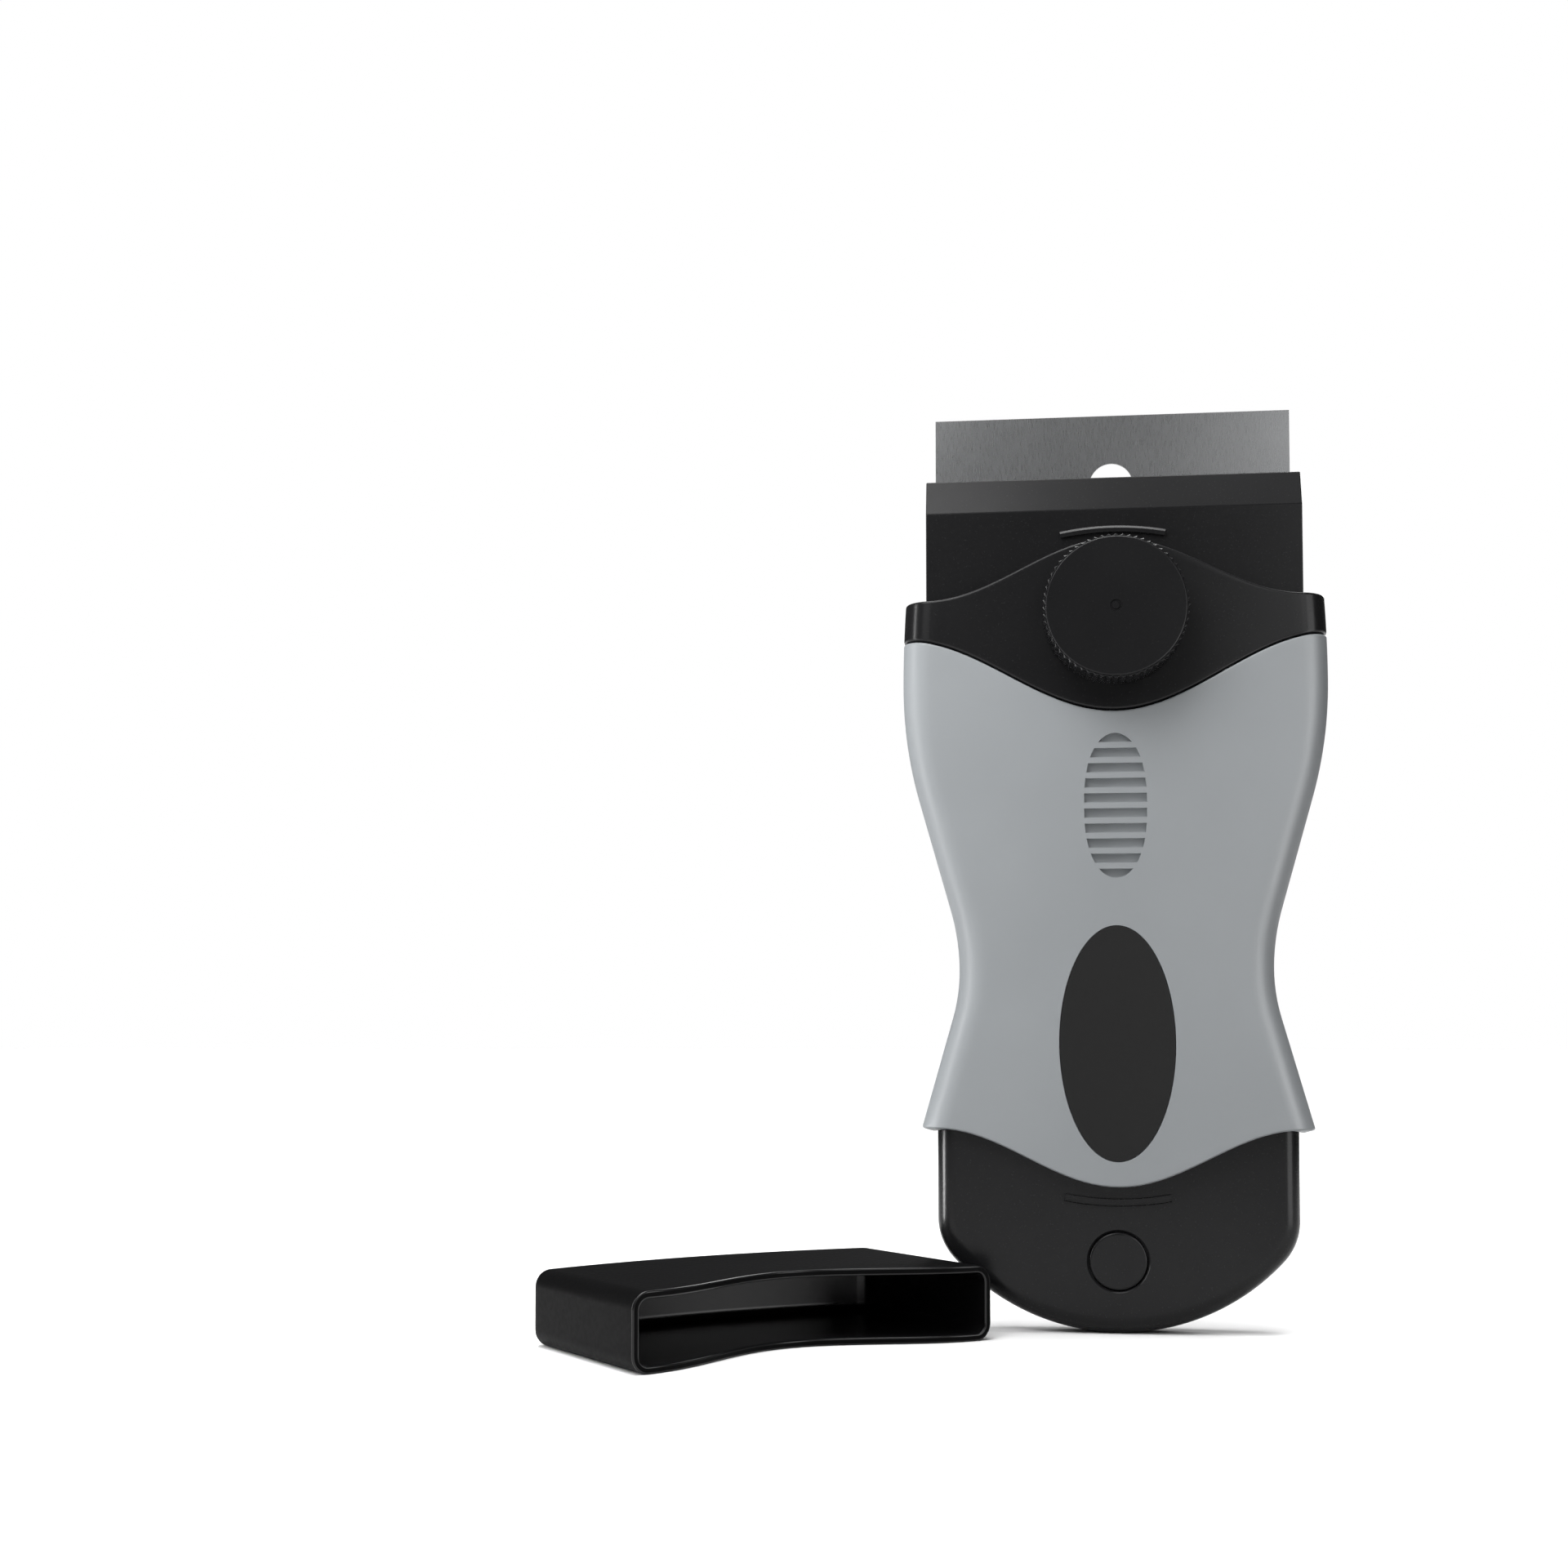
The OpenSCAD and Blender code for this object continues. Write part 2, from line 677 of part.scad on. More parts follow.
// Upright block from the guard's mouth to its crowned end, whose rim is rounded
module guard_block(w, t, r, len, crown_r) {
    intersection() {
        linear_extrude(len) rounded(w, t, r);
        translate([0, 0, len - crown_r]) rotate([90, 0, 0]) rotate_extrude($fn = 128) {
            translate([0, -t / 2]) square([crown_r - r, t]);
            translate([0, r - t / 2]) square([crown_r, t - 2 * r]);
            for (y = [-1, 1]) translate([crown_r - r, y * (t / 2 - r)]) circle(r, $fn = 64);
        }
    }
}

module blade_guard() {
    inner_w = 2 * (max(jaw_half, tail_half) + guard_gap);
    inner_t = 2 * core_half + bead_rise;
    w = inner_w + 2 * guard_wall;
    t = inner_t + 2 * guard_wall;
    corner_z = collar_top_z - collar_wave;
    len = blade_top_z - corner_z + guard_tip_gap + guard_crown + guard_wall;
    crown_r = (w * w / 4 + guard_crown * guard_crown) / (2 * guard_crown);
    color("#161617") translate([-guard_x, -guard_y, t / 2]) rotate([0, 0, guard_turn])
        rotate([-90, 0, 0]) translate([-w / 2, 0, 0]) difference() {
            guard_block(w, t, guard_edge_r, len, crown_r);
            translate([0, 0, -guard_wall])
                guard_block(inner_w, inner_t, guard_edge_r - guard_wall, len, crown_r - guard_wall);
            through() polygon(concat([[w, -past], [-w, -past]],
                [for (x = across(w / 2 + past)) [x, wave(x, collar_wave / 2, collar_wave, jaw_half)]]));
        }
}

blade();
front_jaw();
collar();
knob();
clamp_stud();
retaining_ring();
thrust_washer();
clamp_nut();
core_front();
core_back();
grip_front();
grip_back();
oval_inlay();
tail_plug();
tail_screw();
grip_screws();
blade_guard();
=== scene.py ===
import math

import bmesh
import bpy
import numpy as np
from mathutils import Matrix, Vector


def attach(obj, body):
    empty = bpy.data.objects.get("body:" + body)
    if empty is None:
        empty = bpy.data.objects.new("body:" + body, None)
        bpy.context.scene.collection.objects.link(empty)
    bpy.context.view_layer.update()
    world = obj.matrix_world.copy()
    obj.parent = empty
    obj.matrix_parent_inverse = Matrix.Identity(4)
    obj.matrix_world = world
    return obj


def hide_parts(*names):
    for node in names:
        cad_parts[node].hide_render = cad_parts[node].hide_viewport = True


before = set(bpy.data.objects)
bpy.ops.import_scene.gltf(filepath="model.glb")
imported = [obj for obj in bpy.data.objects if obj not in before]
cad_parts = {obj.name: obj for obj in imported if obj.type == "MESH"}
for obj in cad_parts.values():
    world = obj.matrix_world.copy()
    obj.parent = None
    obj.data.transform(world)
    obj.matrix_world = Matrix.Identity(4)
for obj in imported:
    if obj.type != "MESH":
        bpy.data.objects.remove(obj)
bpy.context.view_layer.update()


# Inner body: two black halves that meet on the blade's plane. They come out below the grip as the
# round tail, and the back half runs up through the collar as the bed that the blade lies on.
# Moulded ABS, with a small bead across the tail that the guard snaps over.

# A millimetre in metres. Then, in millimetres, the slack of a comparison, how far a tool runs past a
# face, how far two tools that cut together overlap, and how close points are that become one.
MM = 0.001
NEAR, PAST, LAP, WELD = 0.01, 1.0, 0.1, 0.002

SEAM, SEAM_EDGE, MOULD_EDGE = 0.05, 0.15, 0.2
SIDE_START_Z, GRIP_FOOT_Z, FOOT_HALF, FOOT_CORNER_Z = 20.0, 24.5, 32.65, 34.0
WAIST_HALF, WAIST_Z, WAIST_LOWER_R, WAIST_UPPER_R = 26.2, 60.6, 29.0, 37.0
SHOULDER_HALF, SHOULDER_Z, SHOULDER_R = 35.6, 109.0, 72.0
NECK_R, HIP_TURN, FLANK_TURN, NECK_TURN = 216.0, 15.98, 15.75, 7.0
CORE_DEPTH, CORE_INSET, CORE_TOP_Z = 4.6, 2.4, 112.0
TAIL_HALF, TAIL_FOOT_R, TAIL_BLEND_R, TAIL_EDGE_R = 30.0, 37.0, 10.0, 3.0
PLUG_Z, PLUG_R, PLUG_T, PLUG_GAP, PLUG_FLARE = 12.1, 4.85, 1.4, 0.1, 0.3
SCREW_SEAT_R, SCREW_HOLE_R, TAIL_SEAT_T = 3.05, 1.65, 3.0
TAIL_BEAD_Z, BEAD_LEN, BEAD_H, BEAD_RISE, BEAD_ROOT, BEAD_BEND = 21.8, 17.6, 1.25, 0.65, 1.0, 0.85
BEAD_RAMP, FACET_IN, FACET_RISE = 0.58, 0.18, 0.39
JAW_HALF, JAW_TOP_Z, JAW_BEVEL, JAW_TIP = 31.6, 145.0, 6.1, 1.0
BED_FOOT_Z, BED_FRONT = 111.0, 0.1
POCKET_HALF, POCKET_FLOOR, POCKET_FOOT_Z = 30.15, 0.2, 131.9
KNOB_Z, STUD_HOLE_R, NUT_POCKET_R, NUT_POCKET_T = 120.0, 2.75, 4.67, 2.7


def bow(x, z, r, start, end, steps=16):
    """Points of an arc in the front view, from one angle to another."""
    return [(x + r * math.cos(math.radians(a)), z + r * math.sin(math.radians(a)))
            for a in np.linspace(start, end, steps + 1)]


# Side of the handle: a straight foot with a corner above it, then hip, waist, flank, shoulder and neck,
# each tangent to the next
handle_side = [(FOOT_HALF, SIDE_START_Z), (FOOT_HALF, FOOT_CORNER_Z)]
handle_side += bow(WAIST_HALF + WAIST_LOWER_R, WAIST_Z, WAIST_LOWER_R, 180 + HIP_TURN, 180)
handle_side += bow(WAIST_HALF + WAIST_UPPER_R, WAIST_Z, WAIST_UPPER_R, 180, 180 - FLANK_TURN)[1:]
handle_side += bow(SHOULDER_HALF - SHOULDER_R, SHOULDER_Z, SHOULDER_R, -FLANK_TURN, 0)
handle_side += bow(SHOULDER_HALF - NECK_R, SHOULDER_Z, NECK_R, 0, NECK_TURN)[1:]


def half_width(z):
    """Half width of the handle at a height."""
    return float(np.interp(z, [p[1] for p in handle_side], [p[0] for p in handle_side]))


def verts_of(geom):
    """Vertices among what an operator gives back."""
    return [v for v in geom if isinstance(v, bmesh.types.BMVert)]


def prism(bm, outline, y0, y1):
    """Closed block with an outline in the front view, between two depths."""
    face = bm.faces.new([bm.verts.new((x, y0, z)) for x, z in outline])
    far = bmesh.ops.extrude_face_region(bm, geom=[face])["geom"]
    bmesh.ops.translate(bm, verts=verts_of(far), vec=(0, y1 - y0, 0))


def block(bm, low, high):
    """Box between two corners."""
    made = bmesh.ops.create_cube(bm, size=1)["verts"]
    bmesh.ops.scale(bm, vec=[b - a for a, b in zip(low, high)], verts=made)
    bmesh.ops.translate(bm, vec=[(a + b) / 2 for a, b in zip(low, high)], verts=made)


def rod(bm, r, y0, y1, x=0.0, z=0.0, r_end=None, segments=96):
    """Round bar along the depth between two depths, straight or flared."""
    turned = Matrix.Translation((x, (y0 + y1) / 2, z)) @ Matrix.Rotation(math.radians(-90), 4, "X")
    bmesh.ops.create_cone(bm, cap_ends=True, segments=segments, radius1=r,
                          radius2=r if r_end is None else r_end, depth=y1 - y0, matrix=turned)


def round_off(bm, edges, width, segments):
    """Rounds edges over a width."""
    bmesh.ops.bevel(bm, geom=edges, offset=width, segments=segments, profile=0.5, affect="EDGES",
                    material=-1)


def slope_tip(bm, face, tip, top, height):
    """Slopes the face of a plate at one depth to another depth at its top, over a height."""
    bmesh.ops.bisect_plane(bm, geom=[*bm.verts, *bm.edges, *bm.faces], plane_co=(0, 0, top - height),
                           plane_no=(0, 0, 1))
    for v in bm.verts:
        if v.co.z > top - NEAR and abs(v.co.y - face) < NEAR:
            v.co.y = tip


def solid(bm, name):
    """Object of a bmesh drawn in millimetres, with its faces turned outwards."""
    bmesh.ops.recalc_face_normals(bm, faces=bm.faces)
    mesh = bpy.data.meshes.new(name)
    bm.to_mesh(mesh)
    bm.free()
    piece = bpy.data.objects.new(name, mesh)
    bpy.context.scene.collection.objects.link(piece)
    return piece


def settle(piece):
    """Works a piece's modifiers into its mesh."""
    bpy.context.view_layer.update()
    shaped = bpy.data.meshes.new_from_object(
        piece.evaluated_get(bpy.context.evaluated_depsgraph_get()))
    piece.modifiers.clear()
    piece.data = shaped


def carve(piece, tool, how="DIFFERENCE"):
    """Cuts a piece with a tool, or joins the two into one solid."""
    cut = piece.modifiers.new("carve", "BOOLEAN")
    cut.operation, cut.solver, cut.object = how, "EXACT", tool
    settle(piece)
    bpy.data.objects.remove(tool)


def drill(piece, *bars, how="DIFFERENCE"):
    """Cuts round bars out of a piece, or joins them to it; a bar is the sizes and place of a rod."""
    bm = bmesh.new()
    for bar in bars:
        rod(bm, **bar)
    carve(piece, solid(bm, "bars"), how)


def weld(piece):
    """Merges the points of a carved piece that fall together, and splits its many-sided faces."""
    bm = bmesh.new()
    bm.from_mesh(piece.data)
    bmesh.ops.remove_doubles(bm, verts=bm.verts, dist=WELD)
    bmesh.ops.dissolve_degenerate(bm, edges=bm.edges, dist=WELD)
    bmesh.ops.triangulate(bm, faces=[f for f in bm.faces if len(f.verts) > 4])
    bm.to_mesh(piece.data)
    bm.free()


def fit(piece, finish, slot, body, *nodes, crease=32):
    """Brings a piece to metres, smooths it up to its creases and puts it on its body."""
    piece.data.transform(Matrix.Scale(MM, 4))
    if len(piece.data.materials) < 2:
        piece.data.materials.clear()
        piece.data.materials.append(finish)
    piece.data.shade_smooth()
    piece.data.set_sharp_from_angle(angle=math.radians(crease))
    even = piece.modifiers.new("even shading", "WEIGHTED_NORMAL")
    even.keep_sharp = True
    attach(piece, body)
    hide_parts(*nodes)


def bead(z, depth, up):
    """Bent bead with square ends, ramped on the side that the guard comes from."""
    r = ((BEAD_LEN / 2) ** 2 + BEAD_BEND ** 2) / (2 * BEAD_BEND)
    reach = math.asin(BEAD_LEN / 2 / r)
    low, high = -BEAD_H / 2, BEAD_H / 2
    profile = [(low, BEAD_ROOT), (high, BEAD_ROOT), (high, 0.0), (high - FACET_IN, -FACET_RISE),
               (high - BEAD_RAMP, -BEAD_RISE), (low, -BEAD_RISE)]
    bm = bmesh.new()
    face = bm.faces.new([bm.verts.new((0, y - depth, up * (r + rise))) for rise, y in profile])
    bmesh.ops.rotate(bm, verts=bm.verts, cent=(0, 0, 0), matrix=Matrix.Rotation(-reach, 3, "Y"))
    bmesh.ops.spin(bm, geom=[face, *face.edges, *face.verts], cent=(0, 0, 0), axis=(0, 1, 0),
                   angle=2 * reach, steps=24)
    bmesh.ops.translate(bm, verts=bm.verts, vec=(0, 0, z - up * r))
    return solid(bm, "bead")


def linear(code):
    """Linear colour of an sRGB hex value."""
    parts = [int(code[i:i + 2], 16) / 255 for i in (1, 3, 5)]
    return (*[c / 12.92 if c <= 0.04045 else ((c + 0.055) / 1.055) ** 2.4 for c in parts], 1.0)


def add(tree, kind, inputs=None, **settings):
    """Adds a node with its settings; inputs take a value, or a socket to link."""
    made = tree.nodes.new(kind)
    for name, value in settings.items():
        setattr(made, name, value)
    for name, value in (inputs or {}).items():
        if isinstance(value, bpy.types.NodeSocket):
            tree.links.new(value, made.inputs[name])
        else:
            made.inputs[name].default_value = value
    return made


def finish_named(name):
    """New material with its node tree, its shader and the piece's own coordinates."""
    made = bpy.data.materials.new(name)
    made.use_nodes = True
    tree = made.node_tree
    return made, tree, tree.nodes["Principled BSDF"], add(tree, "ShaderNodeTexCoord").outputs["Object"]


# The colour sockets of a Mix node go by number, because its number sockets have the same names
COLOUR_A, COLOUR_B, COLOUR_OUT = 6, 7, 2

# Black ABS out of a spark-eroded mould: a satin black that breaks up its highlights. The grain of
# about 0.1 mm is drawn three times as coarse so that it shows, and the tone drifts over 20 mm.
black_abs, tree, shader, place = finish_named("black_abs_spark_eroded")
grain = add(tree, "ShaderNodeTexNoise", {"Vector": place, "Scale": 1 / (0.3 * MM), "Detail": 3.0})
cloud = add(tree, "ShaderNodeTexNoise", {"Vector": place, "Scale": 1 / (20 * MM), "Detail": 2.0})
tone = add(tree, "ShaderNodeMapRange", {"Value": cloud.outputs["Fac"], "From Min": 0.3,
                                        "From Max": 0.7, "To Min": 0.0, "To Max": 1.0})
tint = add(tree, "ShaderNodeMix", {"Factor": tone.outputs["Result"], COLOUR_A: linear("#19191a"),
                                   COLOUR_B: linear("#1d1d1e")}, data_type="RGBA")
sheen = add(tree, "ShaderNodeMapRange", {"Value": grain.outputs["Fac"], "From Min": 0.3,
                                         "From Max": 0.7, "To Min": 0.2, "To Max": 0.28})
relief = add(tree, "ShaderNodeBump", {"Height": grain.outputs["Fac"], "Strength": 0.08,
                                      "Distance": 0.06 * MM})
tree.links.new(tint.outputs[COLOUR_OUT], shader.inputs["Base Color"])
tree.links.new(sheen.outputs["Result"], shader.inputs["Roughness"])
tree.links.new(relief.outputs["Normal"], shader.inputs["Normal"])
shader.inputs["IOR"].default_value = 1.53
shader.inputs["Specular IOR Level"].default_value = 0.15

# Outline of both halves: the round foot, the blend into the straight tail, and the grip's side drawn in
foot_x = TAIL_HALF - TAIL_BLEND_R
foot_z = TAIL_FOOT_R - math.sqrt((TAIL_FOOT_R - TAIL_BLEND_R) ** 2 - foot_x ** 2)
meet = math.degrees(math.atan2(foot_z - TAIL_FOOT_R, foot_x))
core_right = bow(0, TAIL_FOOT_R, TAIL_FOOT_R, -90, meet, 24)
core_right += bow(foot_x, foot_z, TAIL_BLEND_R, meet, 0, 16)[1:]
core_right += [(min(TAIL_HALF, x - CORE_INSET), z) for x, z in handle_side
               if GRIP_FOOT_Z < z < BED_FOOT_Z]
core_right += [(JAW_HALF, CORE_TOP_Z)]
core_outline = core_right + [(-x, z) for x, z in reversed(core_right[1:])]


def core_half():
    """Front half of the inner body, with its outer edges rounded and its seam edge broken."""
    bm = bmesh.new()
    prism(bm, core_outline, -SEAM, -CORE_DEPTH)
    outer = [e for e in bm.edges if all(v.co.y < NEAR - CORE_DEPTH for v in e.verts)]
    round_off(bm, outer, TAIL_EDGE_R, 8)
    rim = [e for e in bm.edges if all(v.co.y > -SEAM - NEAR for v in e.verts)]
    round_off(bm, rim, SEAM_EDGE, 2)
    return bm


core_front = solid(core_half(), "inner_body_front")
carve(core_front, bead(TAIL_BEAD_Z, CORE_DEPTH, -1), "UNION")
drill(core_front, dict(r=PLUG_R + PLUG_GAP, y0=-CORE_DEPTH - PAST, y1=PLUG_T - CORE_DEPTH, z=PLUG_Z))
drill(core_front, dict(r=PLUG_R + PLUG_GAP + PLUG_FLARE + PAST, y0=-CORE_DEPTH - PAST,
                       y1=PLUG_FLARE - CORE_DEPTH, z=PLUG_Z, r_end=PLUG_R + PLUG_GAP))
drill(core_front,
      dict(r=SCREW_SEAT_R, y0=-CORE_DEPTH - PAST, y1=TAIL_SEAT_T - CORE_DEPTH, z=PLUG_Z),
      dict(r=SCREW_HOLE_R, y0=TAIL_SEAT_T - LAP - CORE_DEPTH, y1=PAST, z=PLUG_Z, segments=32))
weld(core_front)
fit(core_front, black_abs, "black_plastic", "handle", "core_front")

bm = core_half()
bmesh.ops.scale(bm, vec=(1, -1, 1), verts=bm.verts)
core_back = solid(bm, "inner_body_back")
bm = bmesh.new()
block(bm, (-JAW_HALF, -BED_FRONT, BED_FOOT_Z), (JAW_HALF, CORE_DEPTH, JAW_TOP_Z))
slope_tip(bm, CORE_DEPTH, JAW_TIP - BED_FRONT, JAW_TOP_Z, JAW_BEVEL)
round_off(bm, bm.edges, MOULD_EDGE, 2)
carve(core_back, solid(bm, "blade_bed"), "UNION")
bm = bmesh.new()
block(bm, (-POCKET_HALF, -PAST, POCKET_FOOT_Z), (POCKET_HALF, POCKET_FLOOR, JAW_TOP_Z + PAST))
carve(core_back, solid(bm, "blade_pocket"))
drill(core_back,
      dict(r=STUD_HOLE_R, y0=-PAST, y1=CORE_DEPTH + PAST, z=KNOB_Z),
      dict(r=NUT_POCKET_R, y0=CORE_DEPTH - NUT_POCKET_T, y1=CORE_DEPTH + PAST, z=KNOB_Z, segments=6))
fit(core_back, black_abs, "black_plastic", "handle", "core_back")


# Clamp nut: a plated steel hexagon held in a pocket of the bed, which the knob's stud screws into.
# It stays as the source makes it, out of sight under the collar.

# Zinc-plated steel: a bright, slightly blue metal whose plating is a little uneven, so that its
# shine changes in patches of about 2 mm.
zinc, tree, shader, place = finish_named("zinc_plated_steel")
patch = add(tree, "ShaderNodeTexNoise", {"Vector": place, "Scale": 1 / (2 * MM), "Detail": 4.0})
shine = add(tree, "ShaderNodeMapRange", {"Value": patch.outputs["Fac"], "From Min": 0.3,
                                         "From Max": 0.7, "To Min": 0.22, "To Max": 0.38})
tint = add(tree, "ShaderNodeMix", {"Factor": patch.outputs["Fac"], COLOUR_A: linear("#b3b6b9"),
                                   COLOUR_B: linear("#c6c8c6")}, data_type="RGBA")
tree.links.new(tint.outputs[COLOUR_OUT], shader.inputs["Base Color"])
tree.links.new(shine.outputs["Result"], shader.inputs["Roughness"])
shader.inputs["Metallic"].default_value = 1.0


def plate(*nodes):
    """Gives parts that keep their source's shape the plated finish."""
    for name in nodes:
        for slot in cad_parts[name].material_slots:
            slot.material = zinc


plate("clamp_nut")


# Blade: a flat spring steel strip with a ground edge above and a round hole in its middle, laid in
# the bed's pocket. Only its upper half stands out of the jaws.
BLADE_HALF, BLADE_T, BLADE_FOOT_Z, BLADE_TOP_Z = 30.0, 0.4, POCKET_FOOT_Z, 155.9
BLADE_BEVEL, BLADE_EDGE_T, BLADE_HOLE_Z, BLADE_HOLE_R = 1.0, 0.03, 143.9, 3.7

# Ground steel strip: fine grinding lines across the blade give it a soft, even sheen. Lines of
# 0.02 mm are drawn at 0.15 mm so that they show, and the tone drifts over 12 mm.
ground_steel, tree, shader, place = finish_named("ground_spring_steel")
stretched = add(tree, "ShaderNodeMapping", {"Vector": place, "Scale": (1 / (0.15 * MM), 1 / (2 * MM),
                                                                       1 / (2 * MM))})
lines = add(tree, "ShaderNodeTexNoise", {"Vector": stretched.outputs["Vector"], "Scale": 1.0,
                                         "Detail": 3.0})
stain = add(tree, "ShaderNodeTexNoise", {"Vector": place, "Scale": 1 / (12 * MM), "Detail": 3.0})
tint = add(tree, "ShaderNodeMix", {"Factor": stain.outputs["Fac"], COLOUR_A: linear("#7e7f80"),
                                   COLOUR_B: linear("#88898a")}, data_type="RGBA")
shine = add(tree, "ShaderNodeMapRange", {"Value": lines.outputs["Fac"], "From Min": 0.3,
                                         "From Max": 0.7, "To Min": 0.26, "To Max": 0.30})
relief = add(tree, "ShaderNodeBump", {"Height": lines.outputs["Fac"], "Strength": 0.012,
                                      "Distance": 0.03 * MM})
tree.links.new(tint.outputs[COLOUR_OUT], shader.inputs["Base Color"])
tree.links.new(shine.outputs["Result"], shader.inputs["Roughness"])
tree.links.new(relief.outputs["Normal"], shader.inputs["Normal"])
shader.inputs["Metallic"].default_value = 1.0

bm = bmesh.new()
block(bm, (-BLADE_HALF, -BLADE_T / 2, BLADE_FOOT_Z), (BLADE_HALF, BLADE_T / 2, BLADE_TOP_Z))
slope_tip(bm, BLADE_T / 2, BLADE_EDGE_T - BLADE_T / 2, BLADE_TOP_Z, BLADE_BEVEL)
blade = solid(bm, "scraper_blade")
drill(blade, dict(r=BLADE_HOLE_R, y0=-PAST, y1=PAST, z=BLADE_HOLE_Z))
fit(blade, ground_steel, "blade_steel", "blade", "blade", crease=8)


# Front jaw: the black clamp plate that presses the blade on its bed. It is moulded with a bevelled
# tip and a bead that the guard snaps over, and slides in the collar.
JAW_BACK, JAW_FRONT, JAW_FOOT_Z, JAW_BEAD_Z = 0.2, 3.4, 112.3, 135.5
RING_SEAT_R, RING_SEAT_T = 4.45, 0.75

bm = bmesh.new()
block(bm, (-JAW_HALF, -JAW_FRONT, JAW_FOOT_Z), (JAW_HALF, -JAW_BACK, JAW_TOP_Z))
slope_tip(bm, -JAW_FRONT, -JAW_BACK - JAW_TIP, JAW_TOP_Z, JAW_BEVEL)
round_off(bm, bm.edges, MOULD_EDGE, 3)
jaw = solid(bm, "clamp_jaw")
carve(jaw, bead(JAW_BEAD_Z, JAW_FRONT, 1), "UNION")
drill(jaw,
      dict(r=STUD_HOLE_R, y0=-JAW_FRONT - PAST, y1=PAST, z=KNOB_Z),
      dict(r=RING_SEAT_R, y0=-JAW_BACK - RING_SEAT_T, y1=PAST, z=KNOB_Z))
fit(jaw, black_abs, "black_plastic", "jaw", "front_jaw")
plate("thrust_washer")


# Collar: a black moulded ring round the neck, open above and below, waved along both edges. It
# guides the jaw, and the knob's boss goes through its front wall.
HANDLE_DEPTH, EDGE_R, CROWN = 7.0, 4.6, 0.6
FACE_STEPS, CORNER_STEPS, SLEEVE_WELD = 40, 8, 0.0005
NECK_HALF, NECK_FRONT, NECK_BACK, NECK_CORNER_R = 31.9, 5.0, 4.75, 0.8
GRIP_TOP_Z, GRIP_TOP_WAVE, COLLAR_TOP_Z, COLLAR_TOP_WAVE = 110.2, 12.6, 128.25, 9.9
COLLAR_SEAM, COLLAR_EDGE, BOSS_HOLE_R = 0.25, 0.4, 6.4


def wave(x, middle, depth, span):
    """Height of a waved edge at a distance from the middle."""
    return middle + depth / 2 * math.cos(math.pi * min(abs(x), span) / span)


def grip_top(x):
    """Upper edge of the grip, lowest in the middle."""
    return wave(x, GRIP_TOP_Z, -GRIP_TOP_WAVE, SHOULDER_HALF)


def collar_foot(x):
    """Lower edge of the collar, a seam above the grip."""
    return grip_top(x) + COLLAR_SEAM


def collar_top(x):
    """Upper edge of the collar, highest in the middle."""
    return wave(x, COLLAR_TOP_Z, COLLAR_TOP_WAVE, JAW_HALF)


def half_section(half, depth, r, rise, seam=0.0):
    """Front half of a section across the handle, from its left seam to its right one."""
    corner, drop = half - r, depth - r - rise
    crown = [(u * corner, rise * u * u - depth) for u in np.linspace(-1, 1, FACE_STEPS + 1)[1:-1]]
    return [(-half, -seam), *bow(-corner, -drop, r, 180, 270, CORNER_STEPS), *crown,
            *bow(corner, -drop, r, 270, 360, CORNER_STEPS), (half, -seam)]


def ring_section(half, front, back, r, rise):
    """Whole section, closed where it starts at the left side."""
    rear = [(x, -y) for x, y in reversed(half_section(half, back, r, 0.0))]
    return half_section(half, front, r, rise) + rear[1:]


def sleeve(bm, across, low, high, rows):
    """Sheet bent round the handle between two waved edges; across gives its section at a half width."""
    columns = len(across(SHOULDER_HALF)) - 1
    sections = {}
    sheet = bmesh.ops.create_grid(bm, x_segments=columns, y_segments=rows, size=1)["verts"]
    for v in sheet:
        column, share = round((v.co.x + 1) / 2 * columns), (v.co.y + 1) / 2
        z = low(0) + (high(0) - low(0)) * share
        # Section and height depend on each other, and six rounds settle them
        for _ in range(6):
            half = round(half_width(z), 4)
            if half not in sections:
                sections[half] = across(half)
            x, y = sections[half][column]
            z = low(x) + (high(x) - low(x)) * share
        v.co = (x, y, z)
    bmesh.ops.remove_doubles(bm, verts=sheet, dist=SLEEVE_WELD)


def is_upper(edge):
    """Whether an edge lies on the collar's upper rim."""
    x, z = edge.verts[0].co.x, edge.verts[0].co.z
    return z > (collar_foot(x) + collar_top(x)) / 2


bm = bmesh.new()
sleeve(bm, lambda half: ring_section(half, HANDLE_DEPTH, HANDLE_DEPTH, EDGE_R, CROWN),
       collar_foot, collar_top, rows=16)
outer_rims = [e for e in bm.edges if e.is_boundary]
sleeve(bm, lambda half: ring_section(NECK_HALF, NECK_FRONT, NECK_BACK, NECK_CORNER_R, 0.0),
       collar_foot, collar_top, rows=2)
rims = [e for e in bm.edges if e.is_boundary]
bmesh.ops.bridge_loops(bm, edges=[e for e in rims if is_upper(e)])
bmesh.ops.bridge_loops(bm, edges=[e for e in rims if not is_upper(e)])
round_off(bm, outer_rims, COLLAR_EDGE, 3)
collar = solid(bm, "neck_collar")
drill(collar, dict(r=BOSS_HOLE_R, y0=-HANDLE_DEPTH - PAST, y1=PAST - NECK_FRONT, z=KNOB_Z))
fit(collar, black_abs, "black_plastic", "handle", "collar")


